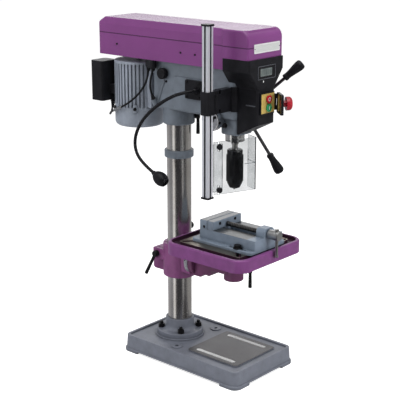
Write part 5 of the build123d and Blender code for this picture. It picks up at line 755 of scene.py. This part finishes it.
# The belt is a merged copy of its solid.
belt_rubber = Finish("belt_rubber", IOR=1.5)
belt_rubber.grained(
    belt_rubber.cloud(220, 4), (24, 24, 24), (52, 51, 50), rough=(0.6, 0.85), depth=0.0002, end=0.8)
dress(belt_rubber, "drive_belt")
belt_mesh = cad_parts["drive_belt"].data.copy()
belt_shell = bmesh.new()
belt_shell.from_mesh(belt_mesh)
bmesh.ops.remove_doubles(belt_shell, verts=belt_shell.verts, dist=1e-6)
belt_shell.to_mesh(belt_mesh)
belt_shell.free()
belt_mesh.shade_smooth()
belt_mesh.set_sharp_from_angle(angle=math.radians(35))
belt_loop = bpy.data.objects.new("belt_loop", belt_mesh)
scene.collection.objects.link(belt_loop)
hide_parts("drive_belt")
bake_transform(belt_loop)

tray_screw_places = ((-69, 252, 931.5), (-69, -2, 929), (-69, -56, 928))
skin(
    "tray_screws",
    [socket_screw(place, to_left, radius=2.9, height=1.6) for place in tray_screw_places],
    bolt_oxide, "frame",
)


def moulded(centre, right, up, half_w, half_h, radius, profile, corner=7):
    """A rectangle with round corners: each pair of inset and height in mm is a ring of it, drawn in by the
    inset and raised by the height. Drawn in by its smaller half, a ring is a line, which closes the face."""
    right, up = np.array(right, float), np.array(up, float)
    inset, height = np.array(profile, float).T[:, :, None]
    turn = (np.arange(4)[:, None] * math.pi / 2 + np.linspace(0, math.pi / 2, corner)).ravel()
    corner_r = np.clip(radius - inset, 0, None)
    straight_w, straight_h = [np.clip(half - inset - corner_r, 0, None) for half in (half_w, half_h)]
    across = np.repeat([1, -1, -1, 1], corner) * straight_w + corner_r * np.cos(turn)
    upward = np.repeat([1, 1, -1, -1], corner) * straight_h + corner_r * np.sin(turn)
    raised = (height * np.ones_like(turn))[:, :, None] * np.cross(right, up)
    return (np.array(centre) + (across[:, :, None] * right + upward[:, :, None] * up + raised)) / 1000.0


def on_front(centre, half_w, half_h, radius, profile):
    """A moulded rectangle that faces the front."""
    return moulded(centre, (1, 0, 0), upright, half_w, half_h, radius, profile)


plate_silver = Finish("plate_silver", Metallic=0.4)
plate_lines = plate_silver.cloud(70, 3, 0.5, plate_silver.stretched((1, 20, 50)))
plate_field = plate_silver.inside((-0.0465, -1, 0.9495), (0.0575, 1, 0.9675))
plate_border = plate_silver.sum("SUBTRACT", 1.0, plate_field)
plate_silver.wear(
    plate_silver.over(
        plate_silver.times(plate_border, 0.6),
        plate_silver.shades(plate_lines, (206, 209, 208), (232, 234, 232)), linear(250, 250, 250),
    ),
    plate_silver.between(plate_lines, 0.30, 0.44),
)
plate_silver.relief((plate_lines, 0.00002), (plate_border, 0.0003))
plate_z = 958.5
plate_edge = [(12.5, 0.4), (0, 0.4), (0, 1.3), (0.4, 1.6), (12.5, 1.6)]
skin(
    "name_plate", [on_front((5.5, -249.0, plate_z), 55.5, 12.5, 2.0, plate_edge)],
    plate_silver, "lid",
)
plate_rivet = [(0, 0), (0, 1.7), (0.5, 1.6), (0.9, 1.0), (1.0, 0)]
skin(
    "name_plate_rivets",
    [turned(plate_rivet, (x, -250.6, plate_z), to_front, sides=20) for x in (-47.5, 58.5)],
    chrome, "lid",
)

# Motor
# A finned aluminium body on an end bell, both in grey paint, on a plate that slides on two bars.
# Through bolts clamp them, with their nuts at the foot of the fins. The capacitor box is moulded.
motor_paint = Enamel("motor_paint", (136, 143, 155), rough=0.36, shadow=0.5).finish()
dress(motor_paint, "motor_bell", "motor_plate")
motor_profile = [
    (0, 54.2), (0, 74.8), (9.6, 74.8), (9.6, 75), (138.5, 75), (138.5, 75), (143.5, 75), (145.7, 72.8),
    (145.7, 8.6), (134, 8.6), (134, 54.2), (0, 54.2),
]
fin_count, fin_steps, fin_depth = 40, 24, 0.09
fin_phase = np.tile(np.arange(fin_steps) / fin_steps, fin_count)
motor_fins = np.ones((len(motor_profile), fin_count * fin_steps))
motor_fins[3:5] -= fin_depth * np.interp(fin_phase, [0, 0.13, 0.20, 0.80, 0.87, 1], [1, 1, 0, 0, 1, 1])
finned_motor = skin(
    "finned_motor",
    [turned(motor_profile, (0, 229, 736.1), upright, fin_count * fin_steps, swell=motor_fins)],
    motor_paint, "motor", crease=30,
)
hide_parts("motor_body", "motor_shield")
motor_middle = np.array([0.0, 229.0, 744.0])
lug_out = [np.array([math.cos(turn), math.sin(turn), 0.0]) for turn in np.radians([160, 214, 34, 340])]
lug_r, lug_drop, lug_face_r = 73.5, (0, 0, 12), 80.8
motor_lug = [(0, 0), (0, 6.5), (1.5, 7.5), (20, 7.5), (23, 6.0), (24, 0)]
through_bolt = [(0, 0), (0, 5.4), (4.4, 5.4), (5.2, 4.6), (5.2, 0)]
skin(
    "motor_lugs",
    [turned(motor_lug, motor_middle + lug_r * out - lug_drop, upright, sides=32) for out in lug_out],
    motor_paint, "motor",
)
skin(
    "motor_through_bolts",
    [turned(through_bolt, motor_middle + lug_face_r * out, out, sides=36, hexed=(1, 2)) for out in lug_out],
    bolt_oxide, "motor",
)

dress(moulded_black, "capacitor_box")

# Front cover, display and switch
# A moulded black cover closes the front of the head. A raised bezel frames the display, with a small
# lamp below it, and the switch has a stop and a start button under a flap with an emergency stop.
dress(moulded_black, "front_cover", "switch_flap")

display_glass = Finish("display_glass", IOR=1.45)
display_cloud = display_glass.cloud(60, 2)
digit_half, digit_width = 0.005, 0.0036
in_digit = display_glass.below(display_glass.sum("PINGPONG", display_glass.axes[0], digit_half), digit_width)
digits = display_glass.times(display_glass.inside((-0.020, -1, 0.8860), (0.020, 1, 0.9000)), in_digit)
display_glass.grained(
    display_cloud, (84, 92, 92), (106, 114, 112), rough=(0.08, 0.16), depth=0.00002,
    marked=(display_glass.times(digits, 0.35), (58, 64, 64)),
)
dress(display_glass, "display_lens")


def gloss_plastic(name, colour, rough=0.24, gloss=0.5, faced=None):
    """Gloss plastic: a slightly uneven colour over a smooth moulded skin, with a painted highlight on its
    edges. It may be faced with a second colour inside a box, given as two corners and the colour."""
    plastic = Finish(name, IOR=1.5, Specular_IOR_Level=gloss)
    flow = plastic.cloud(90, 3)
    body = plastic.graded(flow, (0.3, tint(colour, 0.95)), (0.7, tint(colour, 1.05)))
    # Painted highlight: the edges are lighter.
    body = plastic.over(plastic.times(plastic.edge(0.001), 0.4), body, tint(colour, 1.25))
    if faced:
        low, high, face = faced
        second = plastic.graded(flow, (0.3, tint(face, 0.95)), (0.7, tint(face, 1.05)))
        body = plastic.over(plastic.inside(low, high), body, second)
    plastic.wear(body, plastic.between(flow, rough - 0.05, rough + 0.08))
    plastic.relief((plastic.cloud(600, 2), 0.00006), rounding=0.0008)
    return plastic


black, yellow = (24, 24, 27), (186, 161, 92)
switch_front = ((-0.0284, -1, 0.7820), (0.0284, -0.2560, 0.8352), yellow)
switch_yellow = gloss_plastic("switch_yellow", yellow)
switch_case = gloss_plastic("switch_case", black, rough=0.3, gloss=0.3, faced=switch_front)
stop_red = gloss_plastic("stop_red", (178, 30, 46))
mushroom_red = gloss_plastic("mushroom_red", (156, 28, 42), rough=0.16)
start_green = gloss_plastic("start_green", (46, 150, 98))
mark_white = gloss_plastic("mark_white", (232, 234, 234))
gloss_black = gloss_plastic("gloss_black", black, rough=0.22, gloss=0.22)
bezel_grey = gloss_plastic("bezel_grey", (74, 76, 82), rough=0.3, gloss=0.3)
dress(switch_case, "switch_plate")
dress(mushroom_red, "emergency_button")

cover_front = -254.0
display_middle = (0, cover_front, 893)
bezel_frame = [(0, -2.9), (0, 0), (7.3, 0), (7.3, -2.9), (0, -2.9)]
bezel_slope = [(0, -2.9), (0, 0), (4.2, -0.6), (4.2, -2.6), (0, -2.9)]
rim_section = [(0, 0), (0, 1.0), (0.5, 1.5), (1.5, 1.5), (2.0, 0.9), (2.0, 0), (0, 0)]
skin(
    "display_bezel",
    [
        on_front(display_middle, 36.8, 21.8, 2.0, bezel_frame),
        on_front(display_middle, 29.7, 14.7, 1.0, bezel_slope),
    ],
    gloss_black, "frame",
)
skin(
    "bezel_rim", [on_front(display_middle, 38.5, 18.5, 3.0, rim_section)],
    bezel_grey, "frame",
)
lamp_dome = [(1.8, 0), (0, 0), (0, 0.8), (0.6, 1.2), (1.8, 1.3)]
skin(
    "display_lamp", [on_front((-14, cover_front, 868.5), 1.8, 2.8, 1.7, lamp_dome)],
    mark_white, "frame",
)
latch_bar = [(1.7, 0), (0, 0), (0, 0.6), (0.5, 1.0), (1.7, 1.1)]
skin(
    "cover_latch", [moulded((-37, -229.6, 802.2), to_front, upright, 16.5, 1.7, 1.6, latch_bar)],
    bezel_grey, "frame",
)


def swung(grid):
    """A grid turned 50 degrees about the flap's upright hinge, from shut to open."""
    hinge_x, hinge_y = 0.0338, -0.2583
    cosine, sine = math.cos(math.radians(50)), math.sin(math.radians(50))
    aside, ahead = grid[..., 0] - hinge_x, grid[..., 1] - hinge_y
    x = hinge_x + cosine * aside - sine * ahead
    y = hinge_y + sine * aside + cosine * ahead
    return np.stack((x, y, grid[..., 2]), axis=-1)


flap_panel = [(6.0, 0), (0, 0), (0, 1.4), (0.6, 2.0), (6.0, 2.0)]
skin(
    "flap_insert",
    [
        swung(moulded((side * 19.4, -266.2, 808), to_left, upright, 6.0, 24.5, 2.0, flap_panel))
        for side in (-1, 1)
    ],
    switch_yellow, "flap",
)
switch_face, button_face = -261.0, -266.0
stop_z, start_z = 820.0, 796.0
button_cap = [
    (-1.6, 0), (-1.6, 8.8), (3.2, 8.8), (3.3, 10.6), (3.8, 11.2), (4.5, 11.2), (5.0, 10.4), (5.0, 0),
]
stop_cap = skin(
    "stop_cap", [turned(button_cap, (0, switch_face, stop_z), to_front, sides=48)],
    stop_red, "stop",
)
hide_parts("stop_button")
start_cap = skin(
    "start_cap", [turned(button_cap, (0, switch_face, start_z), to_front, sides=48)],
    start_green, "start",
)
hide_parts("start_button")
mark_ring = [(0, 3.4), (0, 5.4), (0.2, 5.2), (0.2, 3.6), (0, 3.4)]
mark_bar = [(1.1, 0), (0, 0), (0, 0.15), (0.2, 0.2), (1.1, 0.2)]
skin(
    "stop_mark", [turned(mark_ring, (0, button_face, stop_z), to_front)],
    mark_white, "stop",
)
skin(
    "start_mark", [on_front((0, button_face, start_z), 1.1, 4.6, 0.5, mark_bar)],
    mark_white, "start",
)

# Chuck guard
# A grooved post of anodised aluminium slides in a black clamp, whose bracket wraps round the corner of
# the head. It carries a bent clear shield on a clear holder, pinched by two knobs, and has moulded caps.
post_aluminium = Finish("post_aluminium")
drawn = post_aluminium.cloud(80, 3, 0.5, post_aluminium.stretched((40, 40, 1)))
post_half, post_groove = 0.0106, 0.0031
from_post = post_aluminium.from_middle(-0.134, -0.159)
# Painted shade: a strip down each of the post's grooves is painted dark.
by_groove = post_aluminium.below(post_aluminium.sum("MINIMUM", *from_post), post_groove)
below_face = post_aluminium.below(post_aluminium.sum("MAXIMUM", *from_post), post_half)
groove_painted_shade = post_aluminium.times(by_groove, below_face)
post_aluminium.grained(
    drawn, (206, 208, 216), (232, 234, 240), rough=(0.24, 0.36), depth=0.00004, rounding=0.0005,
    marked=(groove_painted_shade, (64, 64, 74)),
)
post_aluminium.wear(metallic=post_aluminium.between(groove_painted_shade, 0.55, 0.9))
dress(post_aluminium, "guard_post")
dress(moulded_black, "guard_clamp", "guard_bracket", "guard_fittings")

angle_steps = 15
angle_turn = np.radians(np.linspace(180, 262, angle_steps))
angle_out = np.concatenate(([(-1.0, 0.0)], np.stack((np.cos(angle_turn), np.sin(angle_turn)), axis=-1)))
angle_from = np.array([[-36.0, -170.4]] + [[-36.0, -171.0]] * angle_steps)
angle_r = np.array([12.15, 14.6, 14.6, 12.15])
angle_z = np.broadcast_to([[780.0], [780.0], [849.0], [849.0]], (angle_steps + 1, 4, 1))
angle_plan = angle_from[:, None] + angle_r[:, None] * angle_out[:, None]
angle_rings = np.concatenate((angle_plan, angle_z), axis=-1)
skin("bracket_angle", [capped(angle_rings)], moulded_black, "frame")

clear_shield = Finish("clear_shield", IOR=1.2, Transmission_Weight=1.0)
scuff = clear_shield.cloud(30, 5)
# Painted shade: the clear sheet's edges and its fold are painted grey.
shield_fold_painted_shade = clear_shield.inside((-0.026, -1, 0.6332), (1, 1, 0.6350))
shield_edge_painted_shade = clear_shield.sum("MAXIMUM", clear_shield.edge(0.0016), shield_fold_painted_shade)
clear_shield.grained(
    scuff, (222, 224, 225), (236, 237, 238), rough=(0.01, 0.05), depth=0.00003,
    marked=(clear_shield.times(shield_edge_painted_shade, 0.9), (120, 126, 130)),
)
dress(clear_shield, "guard_shield", "guard_holder")

# Lamp
# A black plate on the head's side panel holds a flexible neck of wound steel in a black sleeve. The
# lamp on its end is a moulded shade shaped like a drop, with a frosted lens set back in its rim.
dress(moulded_black, "lamp_plate")
lamp_plate_x, lamp_plate_mid, lamp_plate_z = -56.5, -36.5, 826.0
neck_route = [
    (-56.5, -52, 826), (-78.1, -52, 826), (-92.3, -39.8, 823.6), (-99.7, -8.5, 813.8),
    (-109.4, 26.3, 794.3), (-122.1, 66.3, 762.6), (-128.8, 99.4, 726), (-131, 122, 682),
    (-130.3, 122, 638.1), (-125.8, 95.9, 604), (-121.3, 57.6, 582),
]
skin(
    "lamp_plate_screws",
    [
        socket_screw((lamp_plate_x, lamp_plate_mid + y, lamp_plate_z + z), to_left, radius=3.4, height=2.0)
        for y in (-23, 23) for z in (-20, 20)
    ],
    bolt_oxide, "frame",
)
neck_nut = [(0, 0), (0, 12), (2.4, 12), (2.4, 10), (9, 10), (11, 8.4), (16, 7.0), (17, 6.0), (17, 0)]
skin(
    "neck_socket", [turned(neck_nut, neck_route[0], to_left, sides=48, hexed=(3, 4))],
    gloss_black, "frame",
)


def route_curve(name, route):
    """A curve of one smooth spline whose control points are the points of a route in mm."""
    curve = bpy.data.curves.new(name, "CURVE")
    curve.dimensions = "3D"
    curve.resolution_u = 24
    spline = curve.splines.new("NURBS")
    spline.points.add(len(route) - 1)
    spline.points.foreach_set("co", np.column_stack((np.array(route) / 1000.0, np.ones(len(route)))).ravel())
    spline.order_u = 3
    spline.use_endpoint_u = True
    return curve


def route_points(name, route, step):
    """Points read from a route's spline, spaced evenly along its length at about a step in metres, and how
    far along it each lies."""
    guide = bpy.data.objects.new(name, route_curve(name, route))
    line = bpy.data.meshes.new_from_object(guide)
    points = np.empty(3 * len(line.vertices))
    line.vertices.foreach_get("co", points)
    points = points.reshape(-1, 3)
    bpy.data.curves.remove(guide.data)
    bpy.data.meshes.remove(line)
    run = np.concatenate(([0.0], np.cumsum(np.linalg.norm(np.diff(points, axis=0), axis=1))))
    even = np.linspace(0, run[-1], int(round(run[-1] / step)) + 1)
    return even, np.stack([np.interp(even, run, points[:, axis]) for axis in range(3)], axis=-1)


def tube(points, radius, reference, sides=24):
    """A tube along points: each ring lies square to the line, turned from a fixed reference direction, with
    its own radius; the first and last rings shrink to the line to close the ends."""
    ahead = np.gradient(points, axis=0)
    ahead /= np.linalg.norm(ahead, axis=1, keepdims=True)
    right = np.cross(ahead, reference)
    right /= np.linalg.norm(right, axis=1, keepdims=True)
    up = np.cross(ahead, right)
    turn = np.linspace(0, 2 * math.pi, sides, endpoint=False)
    spoke = np.cos(turn)[:, None] * right[:, None] + np.sin(turn)[:, None] * up[:, None]
    rings = points[:, None] + np.asarray(radius)[:, None, None] * spoke
    ends = np.repeat(points[[0, -1]][:, None], sides, axis=1)
    return np.concatenate((ends[:1], rings, ends[1:]))


neck_r, rib_depth, rib_pitch = 0.0050, 0.0006, 0.0032
neck_run, neck_line = route_points("neck_route", neck_route, step=0.0006)
neck_ribs = neck_r - rib_depth * (0.5 + 0.5 * np.cos(2 * math.pi * neck_run / rib_pitch)) ** 2
gooseneck = skin(
    "ribbed_neck", [tube(neck_line, neck_ribs, (0.65, 0.6, -0.5))],
    gloss_black, "frame", crease=60,
)
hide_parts("lamp_gooseneck")

lamp_along = np.array(neck_route[-1]) - np.array(neck_route[-2])
shade_profile = [
    (-3, 0), (-3, 6.4), (-2, 7.0), (2, 7.2), (3, 8.2), (6, 11.0), (10, 14.0), (15, 16.8), (21, 18.9),
    (27, 19.9), (32, 20.0), (38, 18.9), (43, 16.9), (47, 14.6), (49.2, 12.9), (49.8, 12.0), (49.2, 11.3),
    (46, 11.0), (41, 10.8), (40.4, 0),
]
lamp_shade = skin(
    "lamp_shade", [turned(shade_profile, neck_route[-1], lamp_along, sides=64)],
    moulded_black, "frame", crease=50,
)
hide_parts("lamp_head")
frosted = Finish("frosted_lens", IOR=1.45, Transmission_Weight=0.2)
frosted.grained(frosted.cloud(400, 3), (66, 68, 70), (92, 94, 96), rough=(0.25, 0.4), depth=0.0001)
lens_profile = [(40.6, 0), (40.6, 10.5), (42.0, 10.7), (43.2, 9.4), (44.2, 5.6), (44.6, 0)]
skin(
    "lamp_lens", [turned(lens_profile, neck_route[-1], lamp_along, sides=48)],
    frosted, "frame",
)

# Leads
# Two rubber leads of 6 mm leave a moulded block under the belt tray. The long one runs round the motor
# into the capacitor box, with an aluminium ferrule on it; the short one runs into the side of the head.
# Ribbed sleeves that taper guard them where they leave a housing.
lead_rubber = Finish("lead_rubber", IOR=1.5, Specular_IOR_Level=0.22)
lead_rubber.grained(
    lead_rubber.cloud(500, 3), (16, 16, 18), (28, 28, 30), rough=(0.36, 0.52), depth=0.0001,
    end=0.8, tone=lead_rubber.cloud(70, 3),
)
lead_diameter = 0.006
motor_lead_route = [
    (-50, 141, 886.7), (-50, 141, 862.3), (-54.9, 147.7, 825.8), (-68, 166.1, 791),
    (-82.8, 194.4, 763.2), (-91, 232.9, 742.3), (-84, 269.6, 728.4), (-61.9, 296.3, 712.7),
    (-41.8, 306.3, 723.1), (-36.1, 308, 747.5),
]
head_lead_route = [
    (-62, 112, 886.7), (-62, 112, 869.2), (-68, 118, 842.4), (-74, 114, 809.5), (-60, 114, 783.7),
]


def lead(name, route, reference, node, body=None):
    """A lead as a tube along the points of its route's smooth spline."""
    run, line = route_points(name, route, step=0.002)
    rings = tube(line, np.full(len(run), lead_diameter / 2), reference, sides=16)
    piece = skin(name, [rings], lead_rubber, body, crease=60)
    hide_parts(node)
    return piece


def sleeve(start, along, length):
    """A ribbed sleeve that tapers along a lead: a cone with round ribs every 3 mm."""
    distance = np.linspace(0, length, 48)
    cone = 7.0 - 3.2 * distance / length
    radius = cone - 0.9 * (0.5 + 0.5 * np.cos(2 * math.pi * distance / 3.0)) ** 2
    profile = np.concatenate(([(0, 0)], np.column_stack((distance, radius)), [(length, 0)]))
    return turned(profile, start, along, sides=28)


def last_run(route):
    """The end of a route, and the way back from it along its last run."""
    return route[-1], np.array(route[-2]) - np.array(route[-1])


lead_reference = (0.9, -0.35, 0.2)
motor_lead = lead("motor_lead_rubber", motor_lead_route, lead_reference, "motor_lead")
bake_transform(motor_lead)
lead("head_lead_rubber", head_lead_route, (0.0, 1.0, 0.0), "head_lead", "frame")
gland_right, gland_up = (-0.3823, -0.9240, 0), (0.9240, -0.3823, 0)
gland_block = [(9.2, 0), (0, 0), (0, -22.0), (2.0, -24.5), (9.2, -24.5)]
skin(
    "lead_gland",
    [moulded((-56, 126.5, 896.7), gland_right, gland_up, 25.5, 9.2, 9.0, gland_block)],
    moulded_black, "frame",
)
downward, gland_foot = (0, 0, -1), 872.4
skin(
    "lead_sleeves",
    [
        sleeve((-50, 141, gland_foot), downward, 12),
        sleeve((-62, 112, gland_foot), downward, 9),
        sleeve(*last_run(head_lead_route), 14),
    ],
    lead_rubber, "frame",
)
ferrule_from, ferrule_to = 0.2180, 0.2500
_, ferrule_line = route_points("ferrule_route", motor_lead_route, step=0.001)
ferrule_line = ferrule_line[(ferrule_line[:, 1] > ferrule_from) & (ferrule_line[:, 1] < ferrule_to)]
crimps = np.linspace(0, 6 * math.pi, len(ferrule_line))
ferrule_r = 0.0052 - 0.0011 * (0.5 + 0.5 * np.cos(crimps)) ** 4
ferrule = skin(
    "lead_ferrule", [tube(ferrule_line, ferrule_r, lead_reference)],
    raw_aluminium, None, crease=60,
)
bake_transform(ferrule)
skin(
    "motor_lead_sleeve", [sleeve(*last_run(motor_lead_route), 18)],
    lead_rubber, "motor",
)
